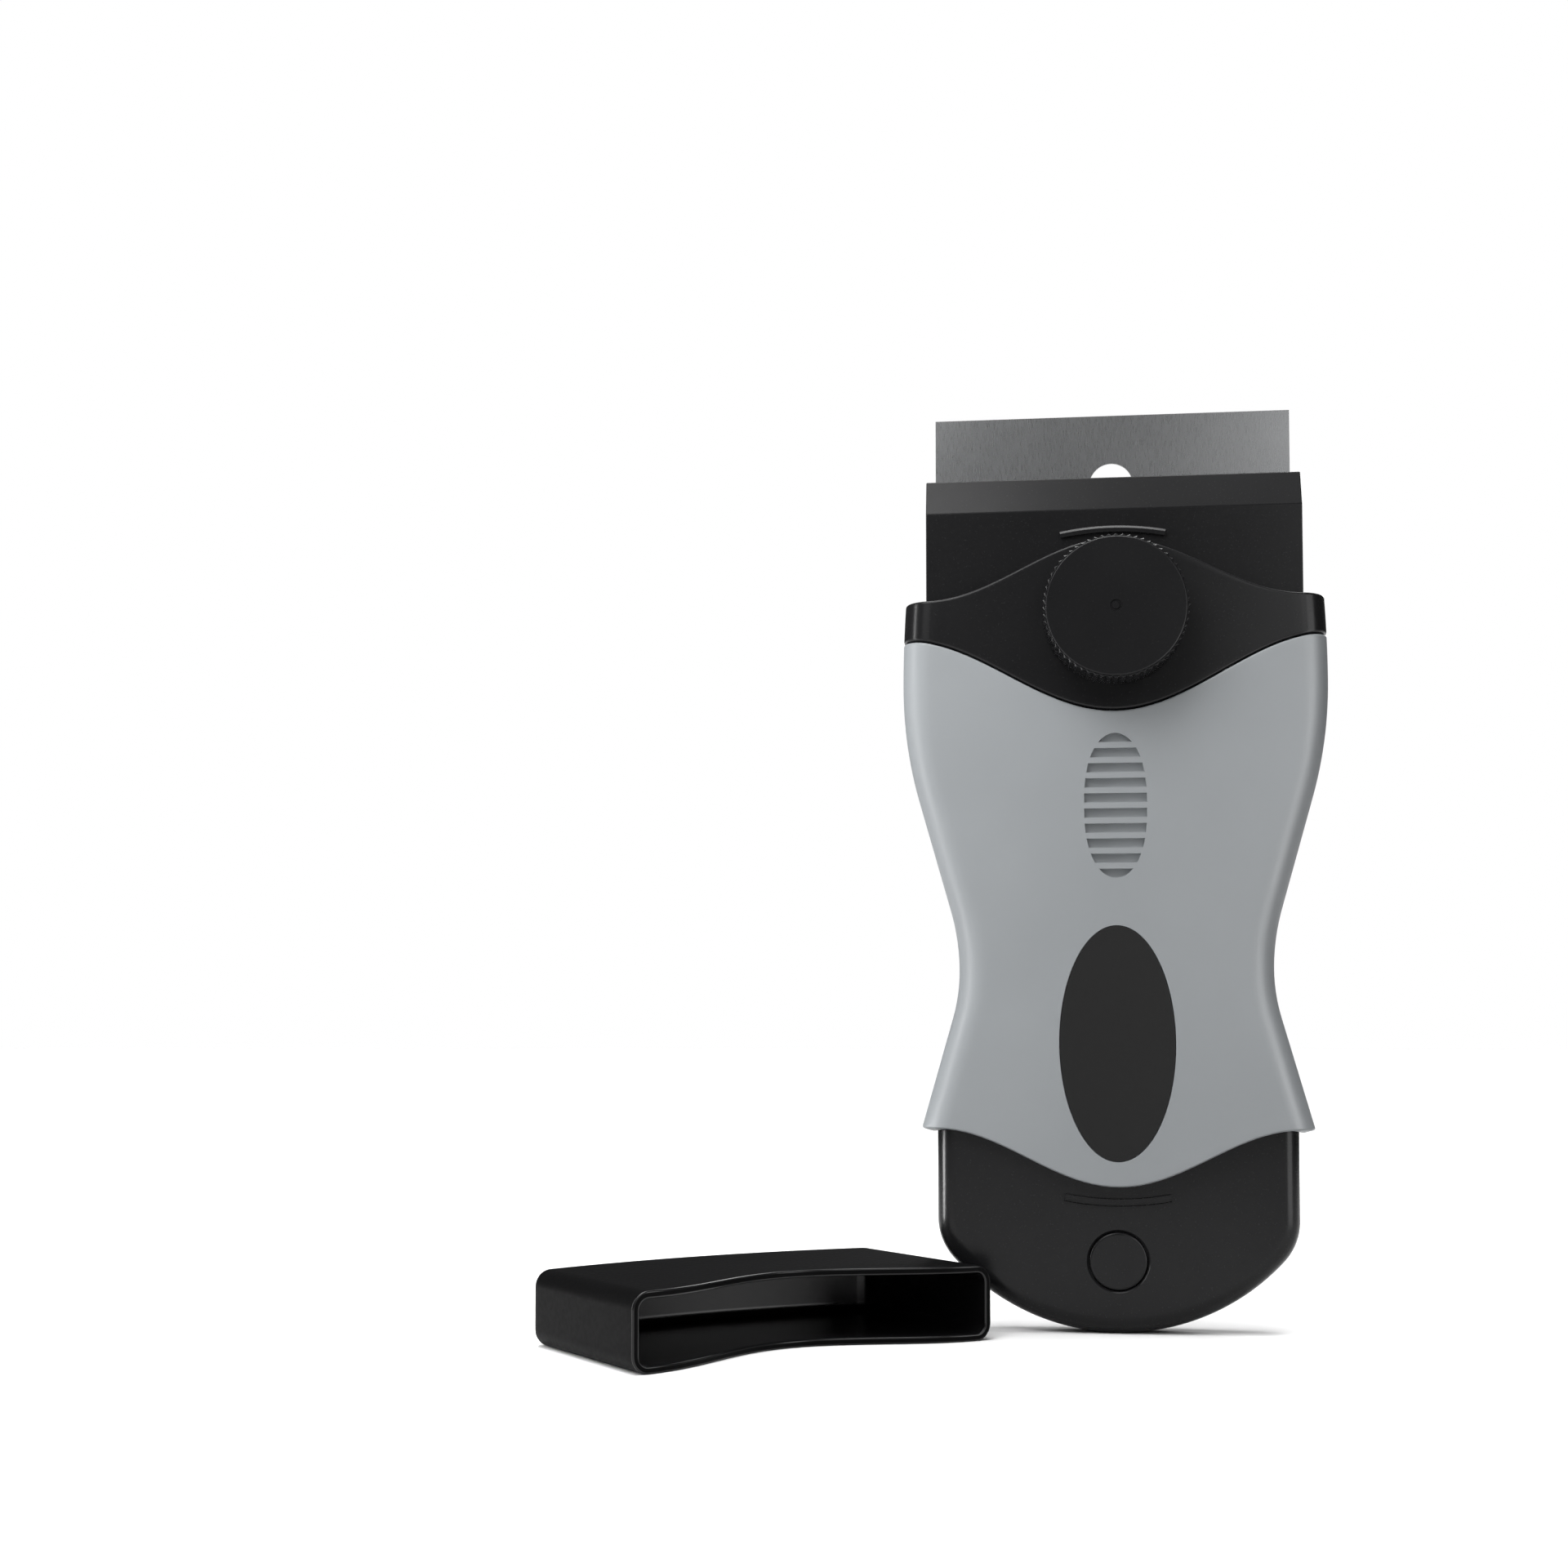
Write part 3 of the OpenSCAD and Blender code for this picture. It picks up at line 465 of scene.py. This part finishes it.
# Knob: a black ABS thumb wheel with 64 fine teeth round its rim and a smooth flat face, moulded on the
# head of a plated steel stud. A snap ring on the stud makes the jaw follow it out.
TEETH, TOOTH_TIP, TOOTH_ROOT, TOOTH_CONE, RIM_R = 64, 12.0, 11.6, 0.1, 11.55
KNOB_BACK, KNOB_T, KNOB_EDGE, KNOB_ROUND = 7.6, 7.4, 0.3, 0.25
BOSS_R, BOSS_END, STUD_R, STUD_HEAD_Y = 6.0, 4.2, 2.5, -12.53
GATE_R, GATE_SLOPE, GATE_DEPTH, GATE_FLOOR = 1.0, 0.12, 0.16, 0.22


def ring(bm, r, rise=0.0):
    """Loop of edges round the knob's axis, with as many points as the toothed rim."""
    before = set(bm.edges)
    bmesh.ops.create_circle(bm, segments=2 * TEETH, radius=r, matrix=Matrix.Translation((0, 0, rise)))
    return [e for e in bm.edges if e not in before]


def pull(bm, loop, rise):
    """Extrudes a loop of edges along the knob's axis and gives the new loop."""
    made = bmesh.ops.extrude_edge_only(bm, edges=loop)["geom"]
    ends = set(verts_of(made))
    bmesh.ops.translate(bm, vec=(0, 0, rise), verts=list(ends))
    return [e for e in made if isinstance(e, bmesh.types.BMEdge) and ends.issuperset(e.verts)]


bm = bmesh.new()
back_loop = ring(bm, TOOTH_TIP)
for v in bm.verts:
    turn = math.degrees(math.atan2(v.co.y, v.co.x)) * TEETH / 180
    if round(turn) % 2:
        v.co *= TOOTH_ROOT / TOOTH_TIP
cone_loop = pull(bm, pull(bm, back_loop, KNOB_T - KNOB_EDGE - TOOTH_CONE), TOOTH_CONE)
for v in {v for e in cone_loop for v in e.verts}:
    v.co.xy *= (v.co.xy.length + RIM_R) / 2 / v.co.xy.length
rim_loop = ring(bm, RIM_R, KNOB_T - KNOB_EDGE)
bmesh.ops.bridge_loops(bm, edges=cone_loop + rim_loop)
face_loop = pull(bm, rim_loop, KNOB_EDGE)
# The face has a small sunk ring in its middle, the mark of the mould's gate
disc = bmesh.ops.contextual_create(bm, geom=face_loop)["faces"]
bmesh.ops.inset_individual(bm, faces=disc, thickness=RIM_R - GATE_R, use_even_offset=True)
for thickness, depth in ((GATE_SLOPE, -GATE_DEPTH), (GATE_FLOOR, 0.0), (GATE_SLOPE, GATE_DEPTH)):
    bmesh.ops.inset_individual(bm, faces=disc, thickness=thickness, depth=depth, use_even_offset=True)
round_off(bm, face_loop, KNOB_ROUND, 5)
boss_loop = ring(bm, BOSS_R)
bmesh.ops.bridge_loops(bm, edges=back_loop + boss_loop)
bmesh.ops.contextual_create(bm, geom=pull(bm, boss_loop, BOSS_END - KNOB_BACK))
bmesh.ops.rotate(bm, verts=bm.verts, cent=(0, 0, 0), matrix=Matrix.Rotation(math.radians(90), 3, "X"))
bmesh.ops.translate(bm, verts=bm.verts, vec=(0, -KNOB_BACK, KNOB_Z))
knob = solid(bm, "thumb_knob")
drill(knob, dict(r=STUD_R, y0=STUD_HEAD_Y, y1=PAST - BOSS_END, z=KNOB_Z))
fit(knob, black_abs, "black_plastic", "knob", "knob", crease=28)
plate("clamp_stud", "retaining_ring")


# Grip: two grey shells round the inner body, waisted for the fingers and waved along both edges.
# The front one has a lens of ten thumb recesses and the seat of the oval inlay.
SHELL_WALL, SHELL_EDGE, FOOT_WAVE = 2.25, 0.35, 9.5
JAW_ROOM, JAW_ROOM_H, JAW_ROOM_CUTS = 4.85, 8.0, 20
LENS_Z, LENS_W, LENS_H, LENS_DEPTH, LENS_FULLNESS = 88.0, 10.4, 24.3, 1.1, 2.5
LENS_ROWS, LENS_WEB, LENS_STEPS, LENS_POINT = 10, 1.0, 8, 0.02
OVAL_Z, OVAL_W, OVAL_H, OVAL_T, OVAL_GAP, OVAL_STEPS = 48.3, 19.0, 39.1, 1.0, 0.1, 96
SCREW_X, SCREW_ZS, SCREW_SEAT_Y, SCREW_SHANK_Y = 18.0, (45.0, 92.5), 3.55, 4.0
SCREW_BOSS_R, SCREW_BOSS_Y = 4.25, 0.1

# Grey ABS with a satin moulded texture: the grain of about 0.1 mm, drawn three times as coarse,
# spreads the light of the long edges into broad soft strips. Fingers polish it a little in patches.
grey_abs, tree, shader, place = finish_named("grey_abs_satin")
grain = add(tree, "ShaderNodeTexNoise", {"Vector": place, "Scale": 1 / (0.3 * MM), "Detail": 3.0})
cloud = add(tree, "ShaderNodeTexNoise", {"Vector": place, "Scale": 1 / (25 * MM), "Detail": 2.0})
tint = add(tree, "ShaderNodeMix", {"Factor": cloud.outputs["Fac"], COLOUR_A: linear("#979b9e"),
                                   COLOUR_B: linear("#9fa3a6")}, data_type="RGBA")
polish = add(tree, "ShaderNodeMath", {0: grain.outputs["Fac"], 1: cloud.outputs["Fac"]},
             operation="ADD")
sheen = add(tree, "ShaderNodeMapRange", {"Value": polish.outputs["Value"], "From Min": 0.7,
                                         "From Max": 1.3, "To Min": 0.38, "To Max": 0.52})
relief = add(tree, "ShaderNodeBump", {"Height": grain.outputs["Fac"], "Strength": 0.1,
                                      "Distance": 0.06 * MM})
tree.links.new(tint.outputs[COLOUR_OUT], shader.inputs["Base Color"])
tree.links.new(sheen.outputs["Result"], shader.inputs["Roughness"])
tree.links.new(relief.outputs["Normal"], shader.inputs["Normal"])
shader.inputs["IOR"].default_value = 1.53


def grip_foot(x):
    """Lower edge of the grip, lowest in the middle."""
    return wave(x, GRIP_FOOT_Z + FOOT_WAVE / 2, -FOOT_WAVE, TAIL_HALF)


def thicken(sheet, wall, edge, inner=0):
    """Gives a sheet a wall on its inner side, with rounded edges; inner is the slot of its finish."""
    thick = sheet.modifiers.new("wall", "SOLIDIFY")
    thick.thickness, thick.offset, thick.use_even_offset = wall, -1.0, True
    thick.material_offset = inner
    rounded = sheet.modifiers.new("edge", "BEVEL")
    rounded.width, rounded.segments = edge, 3
    rounded.limit_method, rounded.angle_limit = "ANGLE", math.radians(50)
    rounded.material = inner or -1
    settle(sheet)


def grip_shell(name, rise, facing):
    """Closed shell of one half of the grip; facing is 1 in front and -1 behind."""
    bm = bmesh.new()
    sleeve(bm, lambda half: half_section(half, HANDLE_DEPTH, EDGE_R, rise, SEAM), grip_foot, grip_top,
           rows=56)
    bmesh.ops.scale(bm, vec=(1, facing, 1), verts=bm.verts)
    shell = solid(bm, name)
    thicken(shell, SHELL_WALL, SHELL_EDGE)
    return shell


def lens_half(height):
    """Half width of the lens at a height from its middle."""
    return LENS_W / 2 * math.sqrt(max(0.0, 1 - abs(2 * height / LENS_H) ** LENS_FULLNESS))


def oval(gap):
    """Outline of the inlay widened by a gap, with no point on its tips."""
    turns = [math.pi * (2 * k + 1) / OVAL_STEPS for k in range(OVAL_STEPS)]
    return [((OVAL_W / 2 + gap) * math.cos(a), OVAL_Z + (OVAL_H / 2 + gap) * math.sin(a))
            for a in turns]


grip_front = grip_shell("grip_front_shell", CROWN, 1)
# Room in the neck for the jaw when it is open
bm = bmesh.new()
block(bm, (-NECK_HALF, -JAW_ROOM, CORE_TOP_Z), (NECK_HALF, JAW_ROOM, CORE_TOP_Z + JAW_ROOM_H))
bmesh.ops.subdivide_edges(bm, edges=bm.edges, cuts=JAW_ROOM_CUTS, use_grid_fill=True)
carve(grip_front, solid(bm, "jaw_room"))
bm = bmesh.new()
pitch = (LENS_H + LENS_WEB) / LENS_ROWS
slot_h = pitch - LENS_WEB
to_point = np.linspace(LENS_POINT, 1, LENS_STEPS + 1) ** 2
for row in range(LENS_ROWS):
    low = row * pitch - LENS_H / 2
    heights = np.linspace(low, low + slot_h, LENS_STEPS + 1)
    if row == 0:
        heights = low + slot_h * to_point
    if row == LENS_ROWS - 1:
        heights = low + slot_h * (1 - to_point[::-1])
    right = [(lens_half(h), LENS_Z + h) for h in heights]
    prism(bm, right + [(-x, z) for x, z in reversed(right)], -HANDLE_DEPTH - PAST,
          LENS_DEPTH - HANDLE_DEPTH)
carve(grip_front, solid(bm, "thumb_recesses"))
bm = bmesh.new()
prism(bm, oval(OVAL_GAP), -HANDLE_DEPTH - PAST, OVAL_T - HANDLE_DEPTH)
carve(grip_front, solid(bm, "inlay_seat"))
weld(grip_front)
fit(grip_front, grey_abs, "grey_plastic", "handle", "grip_front")

grip_back = grip_shell("grip_back_shell", 0.0, -1)
screw_places = [(x, z) for x in (-SCREW_X, SCREW_X) for z in SCREW_ZS]
drill(grip_back, *[dict(r=SCREW_BOSS_R, y0=SCREW_BOSS_Y, y1=HANDLE_DEPTH - PAST, x=x, z=z, segments=48)
                   for x, z in screw_places], how="UNION")
drill(grip_back, *[dict(r=SCREW_SEAT_R, y0=SCREW_SEAT_Y, y1=HANDLE_DEPTH + PAST, x=x, z=z, segments=64)
                   for x, z in screw_places])
drill(grip_back, *[dict(r=SCREW_HOLE_R, y0=-PAST, y1=SCREW_SHANK_Y, x=x, z=z, segments=32)
                   for x, z in screw_places])
fit(grip_back, grey_abs, "grey_plastic", "handle", "grip_back")


# Oval inlay: a thin black plate pressed flush into its seat in the front shell, left bare.
# Die-cut plastic sheet with a matt face.
OVAL_CUTS, OVAL_SUNK = 9, 0.03

# Matt black sheet: a fine even grain, drawn at 0.5 mm so that it shows, scatters all reflections.
matt_sheet, tree, shader, place = finish_named("matt_black_sheet")
grain = add(tree, "ShaderNodeTexNoise", {"Vector": place, "Scale": 1 / (0.5 * MM), "Detail": 4.0})
tint = add(tree, "ShaderNodeMix", {"Factor": grain.outputs["Fac"], COLOUR_A: linear("#1c1c1c"),
                                   COLOUR_B: linear("#222222")}, data_type="RGBA")
sheen = add(tree, "ShaderNodeMapRange", {"Value": grain.outputs["Fac"], "From Min": 0.3,
                                         "From Max": 0.7, "To Min": 0.5, "To Max": 0.62})
tree.links.new(tint.outputs[COLOUR_OUT], shader.inputs["Base Color"])
tree.links.new(sheen.outputs["Result"], shader.inputs["Roughness"])
shader.inputs["IOR"].default_value = 1.5
shader.inputs["Specular IOR Level"].default_value = 0.15

bm = bmesh.new()
prism(bm, oval(0.0), OVAL_T - HANDLE_DEPTH, -HANDLE_DEPTH)
for x in range(-OVAL_CUTS, OVAL_CUTS + 1):
    bmesh.ops.bisect_plane(bm, geom=[*bm.verts, *bm.edges, *bm.faces], plane_co=(x, 0, 0),
                           plane_no=(1, 0, 0))
for v in bm.verts:
    if v.co.y < NEAR - HANDLE_DEPTH:
        v.co.y = CROWN * (v.co.x / (half_width(v.co.z) - EDGE_R)) ** 2 - HANDLE_DEPTH + OVAL_SUNK
inlay = solid(bm, "oval_plate")
fit(inlay, matt_sheet, "inlay_plastic", "handle", "oval_inlay")


# Fasteners: four small plated screws sunk in the back shell hold the two shells together, and one
# under the plug holds the tail. The plug is a moulded black disc with a rounded rim.
HEAD_R, HEAD_H, HEAD_ROUND = 2.75, 1.6, 0.7
SHANK_R, SHANK_END_Y = 1.4, -3.4
SLOT_L, SLOT_W, SLOT_FLOOR_Y = 3.0, 0.6, 4.15
PLUG_EDGE = 0.5

bm = bmesh.new()
head_y = SCREW_SEAT_Y + HEAD_H
rod(bm, HEAD_R, SCREW_SEAT_Y, head_y, segments=64)
round_off(bm, [e for e in bm.edges if all(v.co.y > head_y - NEAR for v in e.verts)], HEAD_ROUND, 5)
screw = solid(bm, "shell_screws")
drill(screw, dict(r=SHANK_R, y0=SHANK_END_Y, y1=SCREW_SHANK_Y, segments=32), how="UNION")
for turn in (45, 135):
    bm = bmesh.new()
    block(bm, (-SLOT_L / 2, SLOT_FLOOR_Y, -SLOT_W / 2), (SLOT_L / 2, head_y + PAST, SLOT_W / 2))
    bmesh.ops.rotate(bm, verts=bm.verts, cent=(0, 0, 0),
                     matrix=Matrix.Rotation(math.radians(turn), 3, "Y"))
    carve(screw, solid(bm, "cross_slot"))
bm = bmesh.new()
bm.from_mesh(screw.data)
first = [*bm.verts, *bm.edges, *bm.faces]
for x, z in screw_places[1:]:
    copy = bmesh.ops.duplicate(bm, geom=first)["geom"]
    bmesh.ops.translate(bm, vec=(x, 0, z), verts=verts_of(copy))
x, z = screw_places[0]
bmesh.ops.translate(bm, vec=(x, 0, z), verts=verts_of(first))
bm.to_mesh(screw.data)
bm.free()
fit(screw, zinc, "plated_steel", "handle", "grip_screws")
plate("tail_screw")

bm = bmesh.new()
rod(bm, PLUG_R, -CORE_DEPTH, -CORE_DEPTH + PLUG_T, z=PLUG_Z)
round_off(bm, [e for e in bm.edges if all(v.co.y < NEAR - CORE_DEPTH for v in e.verts)], PLUG_EDGE, 4)
plug = solid(bm, "tail_plug_disc")
fit(plug, black_abs, "black_plastic", "handle", "tail_plug")


# Blade guard: a moulded black cap that snaps over the jaws, or over the tail in use. It lies flat at
# the left, turned aside, with its waved mouth to the front and its crowned end away.
GUARD_HALF, GUARD_HALF_T, GUARD_LEN, GUARD_CROWN_R = 33.15, 6.125, 39.0, 132.9
GUARD_WALL, GUARD_R, GUARD_EDGE = 1.2, 2.8, 0.3
GUARD_ROWS, ROUND_ROWS, LEAST_R, GUARD_WELD = 18, 8, 0.02, 0.05
GUARD_TURN, GUARD_CORNER = 39.0, (-21.0, -12.5)

# Black ABS with the fine spark-eroded skin of the mould's outer half: satin, hardly mirroring. Its
# grain is drawn at 0.8 mm so that it shows, and its tone drifts over 15 mm.
satin_abs, tree, shader, place = finish_named("black_abs_satin")
cloud = add(tree, "ShaderNodeTexNoise", {"Vector": place, "Scale": 1 / (15 * MM), "Detail": 3.0})
rub = add(tree, "ShaderNodeTexNoise", {"Vector": place, "Scale": 1 / (0.8 * MM), "Detail": 4.0})
tint = add(tree, "ShaderNodeMix", {"Factor": cloud.outputs["Fac"], COLOUR_A: linear("#090909"),
                                   COLOUR_B: linear("#0d0d0e")}, data_type="RGBA")
gloss = add(tree, "ShaderNodeMapRange", {"Value": rub.outputs["Fac"], "From Min": 0.3,
                                         "From Max": 0.7, "To Min": 0.42, "To Max": 0.52})
tree.links.new(tint.outputs[COLOUR_OUT], shader.inputs["Base Color"])
tree.links.new(gloss.outputs["Result"], shader.inputs["Roughness"])
shader.inputs["Specular IOR Level"].default_value = 0.025

# Black ABS off the polished core of the mould, as inside the cap and on the edges of its mouth, with
# handling marks that are drawn at 1.2 mm so that they show.
gloss_abs, tree, shader, place = finish_named("black_abs_half_gloss")
cloud = add(tree, "ShaderNodeTexNoise", {"Vector": place, "Scale": 1 / (15 * MM), "Detail": 3.0})
rub = add(tree, "ShaderNodeTexNoise", {"Vector": place, "Scale": 1 / (1.2 * MM), "Detail": 5.0,
                                       "Distortion": 1.5})
tint = add(tree, "ShaderNodeMix", {"Factor": cloud.outputs["Fac"], COLOUR_A: linear("#0d0d0e"),
                                   COLOUR_B: linear("#131314")}, data_type="RGBA")
gloss = add(tree, "ShaderNodeMapRange", {"Value": rub.outputs["Fac"], "From Min": 0.3,
                                         "From Max": 0.7, "To Min": 0.21, "To Max": 0.25})
tree.links.new(tint.outputs[COLOUR_OUT], shader.inputs["Base Color"])
tree.links.new(gloss.outputs["Result"], shader.inputs["Roughness"])
shader.inputs["Specular IOR Level"].default_value = 0.25


def guard_mouth(x):
    """Edge of the mouth, which meets the collar's upper edge when the guard is on."""
    return wave(x, COLLAR_TOP_WAVE / 2, COLLAR_TOP_WAVE, JAW_HALF)


def guard_end(x):
    """Crowned far end of the guard."""
    return GUARD_LEN - GUARD_CROWN_R + math.sqrt(GUARD_CROWN_R ** 2 - x * x)


def guard_ring(inset):
    """Section of the guard drawn in by an inset, closed where it starts."""
    r = max(GUARD_R - inset, LEAST_R)
    x, y = GUARD_HALF - inset - r, GUARD_HALF_T - inset - r
    broad = [(u * x, -y - r) for u in np.linspace(-1, 1, FACE_STEPS + 1)[1:-1]]
    lower = [*bow(-x, -y, r, 180, 270, CORNER_STEPS), *broad, *bow(x, -y, r, 270, 360, CORNER_STEPS)]
    around = lower + [(-px, -py) for px, py in lower]
    return around + around[:1]


insets = [0.0] * (GUARD_ROWS + 1) + [GUARD_R * (1 - math.cos(math.radians(90 * k / ROUND_ROWS)))
                                     for k in range(1, ROUND_ROWS + 1)]
rings = [guard_ring(inset) for inset in insets]
columns, rows = len(rings[0]) - 1, len(rings) - 1
bm = bmesh.new()
for v in bmesh.ops.create_grid(bm, x_segments=columns, y_segments=rows, size=1)["verts"]:
    row = round((v.co.y + 1) / 2 * rows)
    x, y = rings[row][round((v.co.x + 1) / 2 * columns)]
    shoulder = guard_end(x) - GUARD_R
    if row <= GUARD_ROWS:
        z = guard_mouth(x) + (shoulder - guard_mouth(x)) * row / GUARD_ROWS
    else:
        z = shoulder + GUARD_R * math.sin(math.radians(90 * (row - GUARD_ROWS) / ROUND_ROWS))
    v.co = (x, y, z)
bmesh.ops.remove_doubles(bm, verts=bm.verts, dist=GUARD_WELD)
# The two long sides of the end's rim are bridged, which closes the cap
end_rim = [e for e in bm.edges if e.is_boundary and e.verts[0].co.z > GUARD_LEN / 2]
chains = [e for e in end_rim if abs(e.verts[0].co.y - e.verts[1].co.y) < GUARD_R]
bmesh.ops.bridge_loops(bm, edges=chains)
bmesh.ops.rotate(bm, verts=bm.verts, cent=(0, 0, 0), matrix=Matrix.Rotation(math.radians(-90), 3, "X"))
bmesh.ops.translate(bm, verts=bm.verts, vec=(-GUARD_HALF, 0, GUARD_HALF_T))
bmesh.ops.rotate(bm, verts=bm.verts, cent=(0, 0, 0),
                 matrix=Matrix.Rotation(math.radians(GUARD_TURN), 3, "Z"))
bmesh.ops.translate(bm, verts=bm.verts, vec=(*GUARD_CORNER, 0))
guard = solid(bm, "blade_guard_cap")
guard.data.materials.append(satin_abs)
guard.data.materials.append(gloss_abs)
thicken(guard, GUARD_WALL, GUARD_EDGE, inner=1)
fit(guard, satin_abs, "guard_plastic", "guard", "blade_guard")


# Floor, light and camera: a white table under plain soft light from above, with the main lamp at the
# upper left and soft boxes in front, at the right and behind. A strip at the left and cards that show
# only in the gloss draw the lines along the edges.
FLOOR_HALF = 6000.0

bm = bmesh.new()
bmesh.ops.create_grid(bm, x_segments=1, y_segments=1, size=FLOOR_HALF)
floor = solid(bm, "floor")
floor.data.transform(Matrix.Scale(MM, 4))

# Matt white card, which looks white to the eye and in reflections, and throws back less light on
# the object than it shows.
card, tree, shader, _ = finish_named("matt_white_card")
ray = add(tree, "ShaderNodeLightPath").outputs
seen = add(tree, "ShaderNodeMath", {0: ray["Is Camera Ray"], 1: ray["Is Glossy Ray"]},
           operation="MAXIMUM")
seen = add(tree, "ShaderNodeMath", {0: seen.outputs[0], 1: ray["Is Transmission Ray"]},
           operation="MAXIMUM")
tint = add(tree, "ShaderNodeMix", {"Factor": seen.outputs[0], COLOUR_A: linear("#8c8c8c"),
                                   COLOUR_B: linear("#ffffff")}, data_type="RGBA")
tree.links.new(tint.outputs[COLOUR_OUT], shader.inputs["Base Color"])
shader.inputs["Roughness"].default_value = 1.0
shader.inputs["Specular IOR Level"].default_value = 0.0
floor.data.materials.append(card)

# White all round to the eye. Reflections see a white panel above and behind the scraper in a dim
# room, as under a studio's top light, and the room itself lights the object only a little.
WHITE, PANEL_WAY = (1, 1, 1, 1), (0, 0.2, 0.98)

world = bpy.data.worlds.new("studio")
bpy.context.scene.world = world
world.use_nodes = True
tree = world.node_tree
ray = add(tree, "ShaderNodeLightPath").outputs
around = add(tree, "ShaderNodeTexCoord").outputs["Generated"]
upward = add(tree, "ShaderNodeVectorMath", {0: around, 1: PANEL_WAY}, operation="DOT_PRODUCT")
panel = add(tree, "ShaderNodeMapRange", {"Value": upward.outputs["Value"], "From Min": 0.75,
                                         "From Max": 0.97, "To Min": 0.06, "To Max": 1.0})
backdrop = add(tree, "ShaderNodeMath", {0: ray["Is Camera Ray"], 1: panel.outputs[0]},
               operation="MAXIMUM")
seen = add(tree, "ShaderNodeMath", {0: ray["Is Camera Ray"], 1: ray["Is Glossy Ray"]},
           operation="MAXIMUM")
seen = add(tree, "ShaderNodeMath", {0: seen.outputs[0], 1: ray["Is Transmission Ray"]},
           operation="MAXIMUM")
shown = add(tree, "ShaderNodeBackground", {"Color": WHITE, "Strength": backdrop.outputs[0]})
lighting = add(tree, "ShaderNodeBackground", {"Color": WHITE, "Strength": 0.12})
both = add(tree, "ShaderNodeMixShader", {0: seen.outputs[0], 1: lighting.outputs[0],
                                         2: shown.outputs[0]})
tree.links.new(both.outputs[0], tree.nodes["World Output"].inputs["Surface"])


def lamp(name, kind, where, aim, power, lights=True, **settings):
    """Lamp that faces a point of the scraper, or a card that only shows in its gloss."""
    made = bpy.data.lights.new(name, kind)
    made.energy = power
    for setting, value in settings.items():
        setattr(made, setting, value)
    held = bpy.data.objects.new(name, made)
    held.visible_camera, held.visible_diffuse = False, lights
    held.location = where
    held.rotation_euler = (Vector(aim) - Vector(where)).to_track_quat("-Z", "Y").to_euler()
    bpy.context.scene.collection.objects.link(held)


def soft_box(name, where, aim, power, width, height, **settings):
    """Flat lamp of a width and a height, in metres as the lamps' places are."""
    lamp(name, "AREA", where, aim, power, shape="RECTANGLE", size=width, size_y=height, **settings)


lamp("ceiling", "SUN", where=(0, 0.03, 1), aim=(0, 0, 0), power=2.95, angle=math.radians(35))
soft_box("key", where=(-0.12, -0.18, 0.32), aim=(-0.012, 0, 0.12), power=0.66, width=0.18, height=0.18)
soft_box("front_box", where=(-0.26, -0.53, 0.30), aim=(0, 0, 0.1), power=0.34, width=0.25, height=0.3)
soft_box("right_box", where=(0.24, -0.45, 0.34), aim=(0, 0, 0.13), power=0.26, width=0.2, height=0.2)
soft_box("blade_card", where=(0.22, -0.55, 0.28), aim=(0, 0, 0.15), power=0.42, width=0.22, height=0.3,
         lights=False)
soft_box("back_box", where=(0.15, 0.5, 0.4), aim=(0, 0, 0.1), power=1.5, width=0.3, height=0.3)
soft_box("left_strip", where=(-0.23, -0.061, 0.105), aim=(0, 0, 0.095), power=0.28, width=0.028,
         height=0.2)
soft_box("right_card", where=(0.137, -0.10, 0.085), aim=(0, 0, 0.085), power=0.2, width=0.08,
         height=0.17, lights=False)
soft_box("tail_card", where=(-0.060, -0.008, 0.0255), aim=(-0.03, 0, 0.0255), power=0.001, width=0.006,
         height=0.019, lights=False, spread=math.radians(40))
soft_box("front_card", where=(0.03, -0.25, 0.51), aim=(0, 0, 0.142), power=0.15, width=0.35,
         height=0.08, lights=False)

eye = bpy.data.cameras.new("camera")
eye.sensor_width, eye.lens, eye.shift_y = 36.0, 46.875, 0.09375
camera = bpy.data.objects.new("camera", eye)
camera.location = (-0.01617, -0.35023, 0.05005)
camera.rotation_euler = (math.radians(92.856), 0, math.radians(6.567))
bpy.context.scene.collection.objects.link(camera)
bpy.context.scene.camera = camera
bpy.context.scene.view_settings.view_transform = "Standard"
